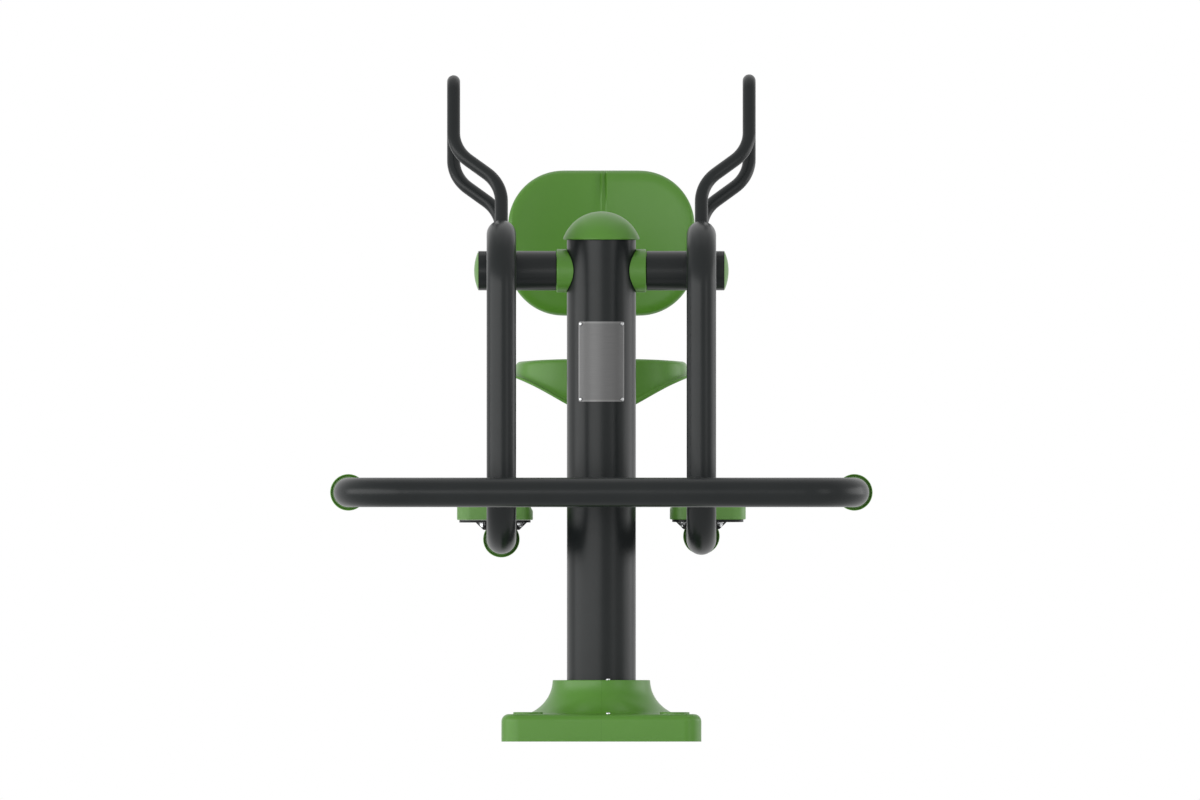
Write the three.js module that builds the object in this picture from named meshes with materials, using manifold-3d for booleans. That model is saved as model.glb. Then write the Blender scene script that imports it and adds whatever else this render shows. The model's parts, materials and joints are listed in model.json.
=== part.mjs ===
// Seated outdoor air walker: a post with two swing arms, a seat, a backrest and a guard bar.
// All lengths are in millimetres and all turns in degrees unless a name ends in Radians.
// X runs to the right as seen from the guard bar, Y from the guard bar to the seat, Z up.
// The origin is on the post's axis, at the underside of the base plate.

import * as THREE from "three";
import { mergeVertices } from "three/addons/utils/BufferGeometryUtils.js";
import Module from "manifold-3d";

const wasm = await Module();
wasm.setup();

// Clearances
const weldGap = 0.3;
const runningGap = 0.3;
const coverGap = 0.6;
const hubGap = 1;
const cutOverrun = 5;
const mergeDistance = 0.001;

// Numbers of facets
const postSides = 32;
const hubSides = 20;
const tubeSides = 16;
const handleSides = 10;
const handleBoreSides = 6;
const smallSides = 8;
const turnPerStep = 18;
const domeSteps = 5;
const flareSteps = 5;
const coverBossSides = 12;
const shellSides = 40;
const shellRings = 14;
const hexSides = 6;
const plateCornerSteps = 3;
const padCornerSteps = 4;
const padChamferSteps = 1;
const coverCornerSteps = 2;
const coverTopSteps = 2;
const stopArcSteps = 4;
const nameplateSteps = 14;
const fewestBendSteps = 2;
const numbersPerPoint = 3;
const quarterTurn = 90;
const halfTurn = 180;

// Post and its cap
const postDiameter = 140;
const postWall = 4;
const postRise = 63;
const capDiameter = 155;
const capHeight = 57;
const capSkirtDepth = 25;
const capSkirtWall = 4;
const capRimHeight = 3;

// Base plate, anchors and ribs
const basePlateSide = 380;
const basePlateThickness = 12;
const basePlateCorner = 20;
const anchorSpacing = 298;
const anchorDiameter = 16;
const anchorHoleDiameter = 19;
const anchorHeight = 46;
const anchorWasherDiameter = 30;
const anchorWasherThickness = 3;
const anchorNutFlats = 24;
const anchorNutHeight = 13;
const footRibCount = 4;
const footRibLength = 60;
const footRibHeight = 80;
const footRibThickness = 6;

// Base cover
const coverSide = 406;
const coverHeight = 56;
const coverCorner = 36;
const coverTopRound = 16;
const coverWall = 4;
const coverNeckDiameter = 198;
const coverNeckHeight = 125;
const coverFlareWidth = 84;
const coverFlareDepth = 75;
const coverBossDiameter = 60;
const coverBossHeight = 4;
const coverScrewDiameter = 4.4;
const coverScrewHeadDiameter = 9;
const coverScrewHeadHeight = 3;
const coverScrewLength = 12;
const coverScrewOffset = 13.4;
const coverScrewNeckEdge = 15;
const coverScrewSlabEdge = 25;

// Axle through the post
const axleHeight = 956;
const shaftDiameter = 35;
const shaftThreadDiameter = 30;
const shaftThreadLength = 20;
const bossDiameter = 60;
const collarDiameter = 87.6;
const collarWall = 12.8;
const collarReach = 20.7;
const collarSaddleGap = 1;

// Hub sleeve that swings on the axle
const sleeveDiameter = 80;
const sleeveWall = 4;
const sleeveLength = 157.8;
const hubCapBulge = 8.5;
const hubCapPlugDepth = 12;
const hubCapPlugWall = 4;
const hubCapSkin = 3;
const bearingWidth = 17;
const bearingInset = 2;
const washerDiameter = 46;
const washerThickness = 4;
const nutFlats = 46;
const nutHeight = 15;
const spacerWall = 4;
const stopLugLength = 40;
const stopLugTurn = 24;
const stopBufferTurn = 28;
const stopClearanceTurn = 0.5;
const stopTipGap = 2;
const stopBandWall = 2;
const swingTurn = 20;

// Swing arm tube
const armInset = 46.5;
const armDiameter = 60;
const armWall = 3;
const bendRadius = 105;
const armForward = 212;
const armTopRise = 73;
const armBottomHeight = 411;
const armRearReach = 312;
const hookPastTurn = 68;
const rightArmRestTurn = 1.1;

// Loop handle on the swing arm
const handleDiameter = 26.6;
const handleWall = 2;
const handleSpread = 97;
const handleLean = 26.8;
const handleSpacing = 125.5;
const handleFarOffset = 16.3;
const handleLowElbow = 142;
const handleHighElbow = 220;
const handleTopReach = 389;
const handleElbowRadius = 80;
const handleCornerRadius = 35;

// Green end caps of the thick tubes
const endCapDiameter = 74;
const endCapThickness = 8;
const endCapRound = 3;
const endCapPlugDepth = 20;
const plugCapThickness = 4;

// Foot pad, its bracket and its studs
const padWidth = 154;
const padLength = 278;
const padFront = 30;
const padOutboard = 13;
const padRise = 39;
const padHeight = 34;
const padCorner = 28;
const padChamfer = 6;
const padInnerChamferDepth = 16;
const padInnerChamferWidth = 8.5;
const padRimWidth = 12;
const padRecessDepth = 7;
const padWall = 6;
const padFloor = 5;
const padCellColumns = 2;
const padCellRows = 4;
const padPlateInset = 4.5;
const padPlateThickness = 5;
const padRibTopWidth = 107;
const padRibFootWidth = 73;
const padRibDepth = 15;
const padRibThickness = 5;
const padRibInset = 48;
const padBoltSpacing = 76;
const padBoltInset = 22;

// Nameplate
const nameplateWidth = 93;
const nameplateDrop = 266;
const nameplateHeight = 163;
const nameplateThickness = 1.5;
const rivetInset = 4.8;
const rivetDiameter = 3.2;
const rivetHeadDiameter = 6.5;
const rivetHeadHeight = 2;
const rivetLength = 8;
const rivetPlay = 0.6;

// Guard bar and its strut
const guardOffset = 513.5;
const guardForward = 440;
const guardRear = 20;
const guardHeight = 506;
const guardDiameter = 60;
const guardWall = 3;
const strutDiameter = 50;
const strutWall = 3;

// Seat beam, seat and backrest
const beamHeight = 600;
const beamDiameter = 60;
const beamWall = 3;
const beamTopRise = 48;
const beamRibSize = 80;
const beamRibThickness = 6;
const seatRear = 430;
const seatHalfWidth = 188;
const seatHalfDepth = 165;
const seatRise = 178.6;
const seatShell = 12;
const seatSideDrop = 8;
const seatDish = 7;
const seatSkirtDepth = 24;
const seatApronDepth = 32.6;
const seatNoseDrop = 77;
const seatNoseHalfWidth = 171;
const seatSkirtWall = 5;
const seatBlockDepth = 12;
const pedestalDiameter = 60;
const pedestalWall = 3;
const seatPlateLength = 120;
const seatPlateWidth = 130;
const carrierThickness = 5;
const backrestRear = 600;
const backrestHalfWidth = 189.5;
const backrestHalfHeight = 147.4;
const backrestRise = 233.4;
const backrestShell = 12;
const backrestWrap = 34;
const backrestBow = 8;
const backrestBlockDepth = 10;
const backrestPlateWidth = 114;
const backrestPlateHeight = 130;

// Stud plates moulded into the pads, the seat and the backrest
const insertThickness = 2;
const insertCover = 3;
const insertMargin = 9;
const studInset = 15;
const studDiameter = 8;
const studPlay = 0.4;
const studNutDiameter = 14;
const studNutHeight = 5;

// Shares of a shape's own size, and powers of its curves
const seatOutlinePowerShare = 3.6;
const seatNoseTaperShare = 1.24;
const seatSidePowerShare = 3;
const seatRingPowerShare = 0.6;
const seatSkirtStartShare = 0.88;
const seatSkirtEndShare = 0.98;
const seatApronTurnShare = 0.35;
const backrestOutlinePowerShare = 3.3;
const backrestRingPowerShare = 1;
const shellRoundPowerShare = 0.5;

// Colours and finishes
const finishes = {
  anthracite: { color: 0x474b4c, roughness: 0.42, metalness: 0.35 },
  green: { color: 0x629249, roughness: 0.45, metalness: 0 },
  black: { color: 0x1c1e1f, roughness: 0.5, metalness: 0.3 },
  zinc: { color: 0xb9bcbd, roughness: 0.3, metalness: 0.9 },
  steel: { color: 0x8d9092, roughness: 0.35, metalness: 0.9 },
  rubber: { color: 0x151515, roughness: 0.9, metalness: 0 },
  aluminium: { color: 0x9a9d9e, roughness: 0.4, metalness: 0.8 },
};

// Worked out from the sizes above
const postRadius = postDiameter / 2;
const postTop = axleHeight + postRise;
const nameplateBottom = axleHeight - nameplateDrop;
const shaftRadius = shaftDiameter / 2;
const sleeveRadius = sleeveDiameter / 2;
const sleeveBore = sleeveRadius - sleeveWall;
const collarOuterEnd = postRadius + collarReach;
const sleeveInnerEnd = collarOuterEnd + hubGap;
const sleeveOuterEnd = sleeveInnerEnd + sleeveLength;
const bossOuterEnd = sleeveInnerEnd + bearingInset;
const innerBearingStart = bossOuterEnd + runningGap;
const shaftEnd = sleeveOuterEnd - hubCapSkin - hubGap;
const threadStart = shaftEnd - shaftThreadLength;
const outerBearingEnd = threadStart;
const outerBearingStart = outerBearingEnd - bearingWidth;
const spacerStart = innerBearingStart + bearingWidth + runningGap;
const spacerEnd = outerBearingStart - runningGap;
const washerStart = outerBearingEnd + runningGap;
const armRadius = armDiameter / 2;
const armOffset = sleeveOuterEnd - armInset;
const armTopHeight = axleHeight + armTopRise;
const handleOffset = armOffset + handleSpread;
const padBottom = armBottomHeight + padRise;
const hookCentreHeight = armTopHeight - bendRadius;
const guardRadius = guardDiameter / 2;
const beamRadius = beamDiameter / 2;
const seatTop = beamHeight + seatRise;
const backrestMiddle = seatTop + backrestRise;
const seatPlateTop = seatTop - seatShell - seatBlockDepth - weldGap;
const backrestPlateFront = backrestRear + backrestShell / 2 + backrestBlockDepth + weldGap;
const beamTop = backrestMiddle + beamTopRise;
const beamRear = backrestPlateFront + carrierThickness + weldGap + beamRadius;
const postFront = postRadius + weldGap;

function radians(turn) {
  return THREE.MathUtils.degToRad(turn);
}

// The closed solid of a three.js geometry, turned right side out where its profile ran the other way.
function solidOf(geometry) {
  const loose = geometry.index ? geometry.toNonIndexed() : geometry;
  const bare = new THREE.BufferGeometry();
  bare.setAttribute("position", loose.getAttribute("position"));
  const merged = mergeVertices(bare, mergeDistance);
  const places = merged.attributes.position.array;
  const corners = new Uint32Array(merged.index.array);
  if (signedVolume(places, corners) < 0) corners.reverse();
  return new wasm.Manifold(new wasm.Mesh({ numProp: numbersPerPoint, vertProperties: places, triVerts: corners }));
}

function signedVolume(places, corners) {
  const a = new THREE.Vector3();
  const b = new THREE.Vector3();
  const c = new THREE.Vector3();
  let total = 0;
  for (let i = 0; i < corners.length; i += numbersPerPoint) {
    a.fromArray(places, corners[i] * numbersPerPoint);
    b.fromArray(places, corners[i + 1] * numbersPerPoint);
    c.fromArray(places, corners[i + 2] * numbersPerPoint);
    total += a.dot(b.cross(c));
  }
  return total;
}

function geometryOf(solid) {
  const mesh = solid.getMesh();
  const geometry = new THREE.BufferGeometry();
  geometry.setAttribute("position", new THREE.BufferAttribute(mesh.vertProperties, numbersPerPoint));
  geometry.setIndex(new THREE.BufferAttribute(mesh.triVerts, 1));
  return geometry;
}

function joined(solids) {
  return solids.reduce((sum, next) => sum.add(next));
}

function cut(solid, ...tools) {
  return tools.reduce((rest, tool) => rest.subtract(tool), solid);
}

// A named mesh for one sub-part.
function piece(name, solid, finish) {
  const geometry = geometryOf(solid);
  geometry.computeVertexNormals();
  const mesh = new THREE.Mesh(geometry, new THREE.MeshStandardMaterial(finishes[finish]));
  mesh.name = name;
  return mesh;
}

// Turns a body made along Y so that its length runs along the named axis.
function alongAxis(geometry, axis) {
  if (axis === "x") geometry.rotateZ(-Math.PI / 2);
  if (axis === "z") geometry.rotateX(Math.PI / 2);
  return geometry;
}

// A turned body. The profile is a list of [place along the axis, radius].
function turned(profile, axis, sides) {
  const points = profile.map(([along, radius]) => new THREE.Vector2(radius, along));
  return solidOf(alongAxis(new THREE.LatheGeometry(points, sides), axis));
}

function barrel(radius, from, to, axis, sides) {
  return turned([[from, 0], [from, radius], [to, radius], [to, 0]], axis, sides);
}

function pipe(radius, bore, from, to, axis, sides) {
  const profile = [[from, bore], [from, radius], [to, radius], [to, bore], [from, bore]];
  return turned(profile, axis, sides);
}

function block(low, high) {
  const size = high.map((value, i) => value - low[i]);
  const geometry = new THREE.BoxGeometry(...size);
  geometry.translate(...high.map((value, i) => (value + low[i]) / 2));
  return solidOf(geometry);
}

// A plate with round corners in the XY plane, from one height to another.
function roundedPlate(width, length, corner, from, to) {
  const x = width / 2;
  const y = length / 2;
  const outline = new THREE.Shape();
  outline.absarc(x - corner, corner - y, corner, -Math.PI / 2, 0);
  outline.absarc(x - corner, y - corner, corner, 0, Math.PI / 2);
  outline.absarc(corner - x, y - corner, corner, Math.PI / 2, Math.PI);
  outline.absarc(corner - x, corner - y, corner, Math.PI, (Math.PI * 3) / 2);
  const options = { depth: to - from, bevelEnabled: false, curveSegments: plateCornerSteps };
  const geometry = new THREE.ExtrudeGeometry(outline, options);
  geometry.translate(0, 0, from);
  return solidOf(geometry);
}

// A flat plate whose outline is a list of points, extruded along Z and centred on it.
function flatPlate(points, thickness) {
  const outline = new THREE.Shape(points.map(([x, y]) => new THREE.Vector2(x, y)));
  const geometry = new THREE.ExtrudeGeometry(outline, { depth: thickness, bevelEnabled: false });
  geometry.translate(0, 0, -thickness / 2);
  return geometry;
}

// A path through chosen stations, each with a place and a direction.
class StationPath extends THREE.Curve {
  constructor(stations) {
    super();
    this.stations = stations;
  }
  station(share) {
    return this.stations[Math.round(share * (this.stations.length - 1))];
  }
  getPoint(share) {
    return this.station(share).place.clone();
  }
  getPointAt(share) {
    return this.station(share).place.clone();
  }
  getTangentAt(share) {
    return this.station(share).direction.clone();
  }
}

// Stations of a bent tube: straight between its corners, with a round bend at each inner corner.
function bentPath(corners, radii) {
  const stations = [];
  const add = (place, direction) => {
    const last = stations[stations.length - 1];
    if (!last || last.place.distanceTo(place) > mergeDistance) stations.push({ place, direction });
  };
  for (let i = 0; i < corners.length; i += 1) {
    const before = i > 0 && corners[i].clone().sub(corners[i - 1]).normalize();
    const after = i < corners.length - 1 && corners[i + 1].clone().sub(corners[i]).normalize();
    if (!before || !after) {
      add(corners[i].clone(), before || after);
      continue;
    }
    const turn = before.angleTo(after);
    const start = corners[i].clone().addScaledVector(before, -radii[i - 1] * Math.tan(turn / 2));
    const inward = after.clone().addScaledVector(before, -after.dot(before)).normalize();
    const centre = start.clone().addScaledVector(inward, radii[i - 1]);
    const steps = Math.max(fewestBendSteps, Math.ceil(turn / radians(turnPerStep)));
    for (let k = 0; k <= steps; k += 1) {
      const along = (turn * k) / steps;
      const place = centre.clone().addScaledVector(inward, -radii[i - 1] * Math.cos(along));
      place.addScaledVector(before, radii[i - 1] * Math.sin(along));
      const direction = before.clone().multiplyScalar(Math.cos(along));
      add(place, direction.addScaledVector(inward, Math.sin(along)));
    }
  }
  return stations;
}

function circlePoints(radius, sides) {
  const points = [];
  for (let i = 0; i < sides; i += 1) {
    const turn = (Math.PI * 2 * i) / sides;
    points.push(new THREE.Vector2(radius * Math.cos(turn), radius * Math.sin(turn)));
  }
  return points;
}

// A bent tube, or a bent bar where the bore is 0.
function bentTube(stations, radius, bore, sides, boreSides) {
  const section = new THREE.Shape(circlePoints(radius, sides));
  if (bore > 0) section.holes.push(new THREE.Path(circlePoints(bore, boreSides)));
  const options = { steps: stations.length - 1, extrudePath: new StationPath(stations) };
  return solidOf(new THREE.ExtrudeGeometry(section, { ...options, bevelEnabled: false }));
}

function hexBar(flats, from, to, axis) {
  return barrel(flats / 2 / Math.cos(Math.PI / hexSides), from, to, axis, hexSides);
}

// A shell moulded over an outline in the XZ plane, with a front towards -Y. The place function turns
// a share across, a share up and the share out to the rim into a middle point.
function mouldedShell(halfWidth, halfHeight, outlines, walls, offsetAt) {
  const geometry = new THREE.SphereGeometry(1, shellSides, shellRings);
  const places = geometry.getAttribute("position");
  for (let i = 0; i < places.count; i += 1) {
    const rise = THREE.MathUtils.clamp(places.getY(i), -1, 1);
    const around = Math.atan2(places.getZ(i), places.getX(i));
    const out = Math.sqrt(1 - rise * rise) ** outlines.ringPowerShare;
    const power = 2 / outlines.powerShare;
    const across = Math.sign(Math.cos(around)) * Math.abs(Math.cos(around)) ** power;
    const up = Math.sign(Math.sin(around)) * Math.abs(Math.sin(around)) ** power;
    const round = Math.sign(rise) * Math.abs(rise) ** shellRoundPowerShare;
    const offset = offsetAt(across, up, out) - (round * walls.thickness) / 2;
    const pull = 1 + (Math.min(round, 0) * walls.sideWall) / halfHeight;
    places.setXYZ(i, halfWidth * across * out * pull, offset, halfHeight * up * out * pull);
  }
  return geometry;
}

// A bolt along +Z: its shank goes up from the face at height 0, and its head hangs below.
function bolt(shankDiameter, length, headDiameter, headHeight, sides) {
  const shank = shankDiameter / 2;
  const head = headDiameter / 2;
  const profile = [[-headHeight, 0], [-headHeight, head], [0, head], [0, shank]];
  profile.push([length, shank], [length, 0]);
  return turned(profile, "z", sides);
}

function fourCorners(x, y) {
  return [[x, y], [-x, y], [x, -y], [-x, -y]];
}

const bodies = new THREE.Group();
const frameGroup = new THREE.Group();
bodies.add(frameGroup);

// Base plate with its welded ribs and anchor holes, and the four anchors with their nuts.
const anchorNames = ["rear_right", "rear_left", "front_right", "front_left"];
const anchorPlaces = fourCorners(anchorSpacing / 2, anchorSpacing / 2);

function atAnchors(solid) {
  return joined(anchorPlaces.map(([x, y]) => solid.translate([x, y, 0])));
}

function makeBase() {
  const plate = roundedPlate(basePlateSide, basePlateSide, basePlateCorner, 0, basePlateThickness);
  const hole = barrel(anchorHoleDiameter / 2, -cutOverrun, basePlateThickness + cutOverrun, "z", hubSides);
  const root = basePlateThickness / 2;
  const outline = [[postFront, root], [postFront + footRibLength, root]];
  outline.push([postFront + footRibLength, basePlateThickness]);
  outline.push([postFront, basePlateThickness + footRibHeight]);
  const ribs = [];
  for (let i = 0; i < footRibCount; i += 1) {
    const rib = flatPlate(outline, footRibThickness).rotateX(Math.PI / 2);
    ribs.push(solidOf(rib.rotateZ((Math.PI / footRibCount) * (2 * i + 1))));
  }
  const post = barrel(postFront, basePlateThickness, postTop, "z", postSides);
  const welded = cut(plate.add(joined(ribs)), post, atAnchors(hole));
  frameGroup.add(piece("base_plate", welded, "anthracite"));
  const stud = barrel(anchorDiameter / 2, 0, anchorHeight, "z", smallSides);
  const washerBottom = basePlateThickness + weldGap;
  const nutBottom = washerBottom + anchorWasherThickness;
  const washer = barrel(anchorWasherDiameter / 2, washerBottom, nutBottom, "z", hubSides);
  const nut = hexBar(anchorNutFlats, nutBottom, nutBottom + anchorNutHeight, "z");
  const anchor = joined([stud, washer, nut]);
  anchorPlaces.forEach(([x, y], i) => {
    frameGroup.add(piece(`anchor_${anchorNames[i]}`, anchor.translate([x, y, 0]), "zinc"));
  });
}

// Post tube with the holes for the axle and the nameplate's rivets, and the dome cap on top.
function rivetsWith(radius, headDiameter) {
  const turn = Math.asin((nameplateWidth / 2 - rivetInset) / (postRadius + nameplateThickness));
  const faceRadius = postRadius + weldGap + nameplateThickness + weldGap;
  const solids = [];
  for (const side of [-1, 1]) {
    for (const end of [rivetInset, nameplateHeight - rivetInset]) {
      const head = headDiameter / 2;
      const outer = faceRadius + rivetHeadHeight;
      const profile = [[faceRadius - rivetLength, 0], [faceRadius - rivetLength, radius]];
      profile.push([faceRadius, radius], [faceRadius, head], [outer, head / 2], [outer, 0]);
      const rivet = turned(profile, "x", smallSides);
      const aim = THREE.MathUtils.radToDeg(side * turn - Math.PI / 2);
      solids.push(rivet.rotate([0, 0, aim]).translate([0, 0, nameplateBottom + end]));
    }
  }
  return solids;
}

function makePost() {
  const bottom = basePlateThickness + weldGap;
  const tube = pipe(postRadius, postRadius - postWall, bottom, postTop, "z", postSides);
  const shaftHole = barrel(shaftRadius + weldGap, -postDiameter, postDiameter, "x", hubSides);
  const rivetHoles = rivetsWith((rivetDiameter + rivetPlay) / 2, rivetHeadDiameter + rivetPlay);
  const post = cut(tube, shaftHole.translate([0, 0, axleHeight]), ...rivetHoles);
  frameGroup.add(piece("post_tube", post, "anthracite"));
  const rim = capDiameter / 2;
  const plug = postRadius - postWall - weldGap;
  const seat = postTop + weldGap;
  const profile = [[seat + capHeight - capSkirtWall, 0], [seat + capSkirtWall, plug - capSkirtWall]];
  profile.push([seat - capSkirtDepth, plug - capSkirtWall], [seat - capSkirtDepth, plug]);
  profile.push([seat, plug], [seat, rim]);
  const domeRise = capHeight - capRimHeight;
  const domeRadius = (rim * rim + domeRise * domeRise) / (2 * domeRise);
  const domeCentre = seat + capHeight - domeRadius;
  const domeTurn = Math.asin(rim / domeRadius);
  for (let i = 0; i <= domeSteps; i += 1) {
    const turn = domeTurn * (1 - i / domeSteps);
    profile.push([domeCentre + domeRadius * Math.cos(turn), domeRadius * Math.sin(turn)]);
  }
  frameGroup.add(piece("post_cap", turned(profile, "z", postSides), "green"));
}

// Base cover: a slab with a flared neck, moulded hollow and split in two halves at X = 0.
function coverSolid(inset, bottom) {
  const side = coverSide - inset * 2;
  const corner = coverCorner - inset;
  const x = side / 2 - coverTopRound;
  const outline = new THREE.Shape();
  const round = corner - coverTopRound;
  outline.absarc(x - round, round - x, round, -Math.PI / 2, 0);
  outline.absarc(x - round, x - round, round, 0, Math.PI / 2);
  outline.absarc(round - x, x - round, round, Math.PI / 2, Math.PI);
  outline.absarc(round - x, round - x, round, Math.PI, (Math.PI * 3) / 2);
  const top = coverHeight - inset;
  const options = { depth: top - coverTopRound, bevelEnabled: true, bevelSegments: coverTopSteps };
  options.curveSegments = coverCornerSteps;
  options.bevelThickness = coverTopRound;
  options.bevelSize = coverTopRound;
  const slab = solidOf(new THREE.ExtrudeGeometry(outline, options));
  const neck = coverNeckDiameter / 2 - inset;
  const neckTop = coverNeckHeight - inset;
  const footTurn = Math.asin((neckTop - top + weldGap) / coverFlareDepth);
  const foot = neck + coverFlareWidth * (1 - Math.cos(footTurn));
  const profile = [[0, 0], [0, foot]];
  for (let i = 0; i <= flareSteps; i += 1) {
    const turn = footTurn * (1 - i / flareSteps);
    const radius = neck + coverFlareWidth * (1 - Math.cos(turn));
    profile.push([neckTop - coverFlareDepth * Math.sin(turn), radius]);
  }
  profile.push([neckTop, 0]);
  const flare = turned(profile, "z", postSides);
  const bossRadius = coverBossDiameter / 2 - inset;
  const boss = barrel(bossRadius, 0, coverHeight + coverBossHeight - inset, "z", coverBossSides);
  const below = block([-coverSide, -coverSide, -coverSide], [coverSide, coverSide, bottom]);
  return cut(slab.add(flare).add(atAnchors(boss)), below);
}

// The two screws by the front seam: one down through the neck's top, one through the slab's top.
function coverScrews(diameter, headDiameter) {
  const screw = bolt(diameter, coverScrewLength, headDiameter, coverScrewHeadHeight, smallSides);
  const upright = screw.rotate([halfTurn, 0, 0]);
  const onNeck = [coverScrewOffset, coverScrewNeckEdge - coverNeckDiameter / 2, coverNeckHeight + weldGap];
  const onSlab = [coverScrewOffset, coverScrewSlabEdge - coverSide / 2, coverHeight + weldGap];
  return [upright.translate(onNeck), upright.translate(onSlab)];
}

function makeCover() {
  const hollow = coverSolid(coverWall, -coverSide / 2);
  const postHole = barrel(postRadius + coverGap, 0, coverNeckHeight + cutOverrun, "z", postSides);
  const shell = cut(coverSolid(0, 0), hollow, postHole);
  const left = block([-coverSide, -coverSide, -cutOverrun], [coverGap / 2, coverSide, coverSide]);
  const right = block([-coverGap / 2, -coverSide, -cutOverrun], [coverSide, coverSide, coverSide]);
  const holes = coverScrews(coverScrewDiameter + weldGap * 2, coverScrewHeadDiameter);
  frameGroup.add(piece("base_cover_right", cut(shell, left, ...holes), "green"));
  frameGroup.add(piece("base_cover_left", cut(shell, right), "green"));
  const [neckScrew, slabScrew] = coverScrews(coverScrewDiameter, coverScrewHeadDiameter);
  frameGroup.add(piece("cover_neck_screw", neckScrew, "zinc"));
  frameGroup.add(piece("cover_slab_screw", slabScrew, "zinc"));
}

// Shaft through the post, with threaded ends.
function makeAxle() {
  const profile = [[-shaftEnd, 0], [-shaftEnd, shaftThreadDiameter / 2]];
  profile.push([-threadStart, shaftThreadDiameter / 2], [-threadStart, shaftRadius]);
  profile.push([threadStart, shaftRadius], [threadStart, shaftThreadDiameter / 2]);
  profile.push([shaftEnd, shaftThreadDiameter / 2], [shaftEnd, 0]);
  const shaft = turned(profile, "x", hubSides).translate([0, 0, axleHeight]);
  frameGroup.add(piece("axle_shaft", shaft, "steel"));
}

// The fixed boss, collar, stop spacer and flanged nut at one end of the axle.
function makeAxleEnd(side, group) {
  const post = barrel(postFront, -sleeveRadius * 2, sleeveRadius * 2, "z", postSides);
  const boss = pipe(bossDiameter / 2, shaftRadius + weldGap, 0, bossOuterEnd, "x", hubSides);
  group.add(piece(`${side}_axle_boss`, cut(boss, post), "anthracite"));
  const collarBore = collarDiameter / 2 - collarWall;
  const collarPipe = pipe(collarDiameter / 2, collarBore, 0, collarOuterEnd, "x", tubeSides * 2);
  const postSaddle = barrel(postRadius + collarSaddleGap, -sleeveDiameter, sleeveDiameter, "z", postSides);
  group.add(piece(`${side}_axle_collar`, cut(collarPipe, postSaddle), "green"));
  const bore = shaftRadius + weldGap;
  const ring = pipe(bore + spacerWall, bore, spacerStart, spacerEnd, "x", hubSides);
  const lugStart = (spacerStart + spacerEnd - stopLugLength) / 2;
  const lug = sector(bore + spacerWall / 2, sleeveBore - stopTipGap * 2, -stopLugTurn / 2, stopLugTurn / 2);
  group.add(piece(`${side}_stop_spacer`, ring.add(lug.translate([lugStart, 0, 0])), "steel"));
  const flangeEnd = washerStart + washerThickness;
  const flange = barrel(washerDiameter / 2, washerStart, flangeEnd, "x", hubSides);
  const nut = hexBar(nutFlats, washerStart, flangeEnd + nutHeight, "x");
  const thread = barrel(shaftThreadDiameter / 2 + weldGap, 0, sleeveOuterEnd, "x", hubSides);
  group.add(piece(`${side}_axle_nut`, cut(flange.add(nut), thread), "zinc"));
}

// Part of a ring about X, opened about straight down, with the stops' length.
function sector(innerRadius, outerRadius, fromTurn, toTurn) {
  const outline = new THREE.Shape();
  outline.absarc(0, 0, outerRadius, radians(fromTurn), radians(toTurn), false);
  outline.absarc(0, 0, innerRadius, radians(toTurn), radians(fromTurn), true);
  const options = { depth: stopLugLength, bevelEnabled: false, curveSegments: stopArcSteps };
  const geometry = new THREE.ExtrudeGeometry(outline, options);
  geometry.rotateZ(-Math.PI / 2).rotateX(Math.PI / 2).rotateZ(Math.PI / 2);
  return solidOf(geometry);
}

// Hub sleeve with its two bearings, rubber stop ring and end cap.
function makeHub(side, group) {
  const sleeve = pipe(sleeveRadius, sleeveBore, sleeveInnerEnd, sleeveOuterEnd, "x", hubSides);
  group.add(piece(`${side}_hub_sleeve`, sleeve, "anthracite"));
  const bore = shaftRadius + runningGap;
  const race = sleeveBore - weldGap;
  for (const [place, start] of [["inner", innerBearingStart], ["outer", outerBearingStart]]) {
    const bearing = pipe(race, bore, start, start + bearingWidth, "x", hubSides);
    group.add(piece(`${side}_${place}_bearing`, bearing, "steel"));
  }
  const near = stopLugTurn / 2 + swingTurn + stopClearanceTurn;
  const bufferStart = (spacerStart + spacerEnd - stopLugLength) / 2;
  const inner = bore + spacerWall + stopTipGap;
  const rim = sleeveBore * Math.cos(Math.PI / hubSides) - weldGap;
  const front = sector(inner, rim, -near - stopBufferTurn, -near);
  const rear = sector(inner, rim, near, near + stopBufferTurn);
  const band = pipe(rim, rim - stopBandWall, 0, stopLugLength, "x", hubSides);
  const buffers = joined([band, front, rear]);
  group.add(piece(`${side}_stop_ring`, buffers.translate([bufferStart, 0, 0]), "rubber"));
  const capStart = sleeveOuterEnd + weldGap;
  const capRadius = (sleeveRadius * sleeveRadius + hubCapBulge * hubCapBulge) / (2 * hubCapBulge);
  const profile = [[capStart - hubCapSkin / 2, 0], [capStart - hubCapSkin / 2, race - hubCapPlugWall]];
  profile.push([capStart - hubCapPlugDepth, race - hubCapPlugWall], [capStart - hubCapPlugDepth, race]);
  profile.push([capStart, race]);
  const domeTurn = Math.asin(sleeveRadius / capRadius);
  for (let i = 0; i <= domeSteps; i += 1) {
    const turn = domeTurn * (1 - i / domeSteps);
    const along = capStart + hubCapBulge - capRadius + capRadius * Math.cos(turn);
    profile.push([along, capRadius * Math.sin(turn)]);
  }
  group.add(piece(`${side}_hub_cap`, turned(profile, "x", hubSides), "green"));
}

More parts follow.
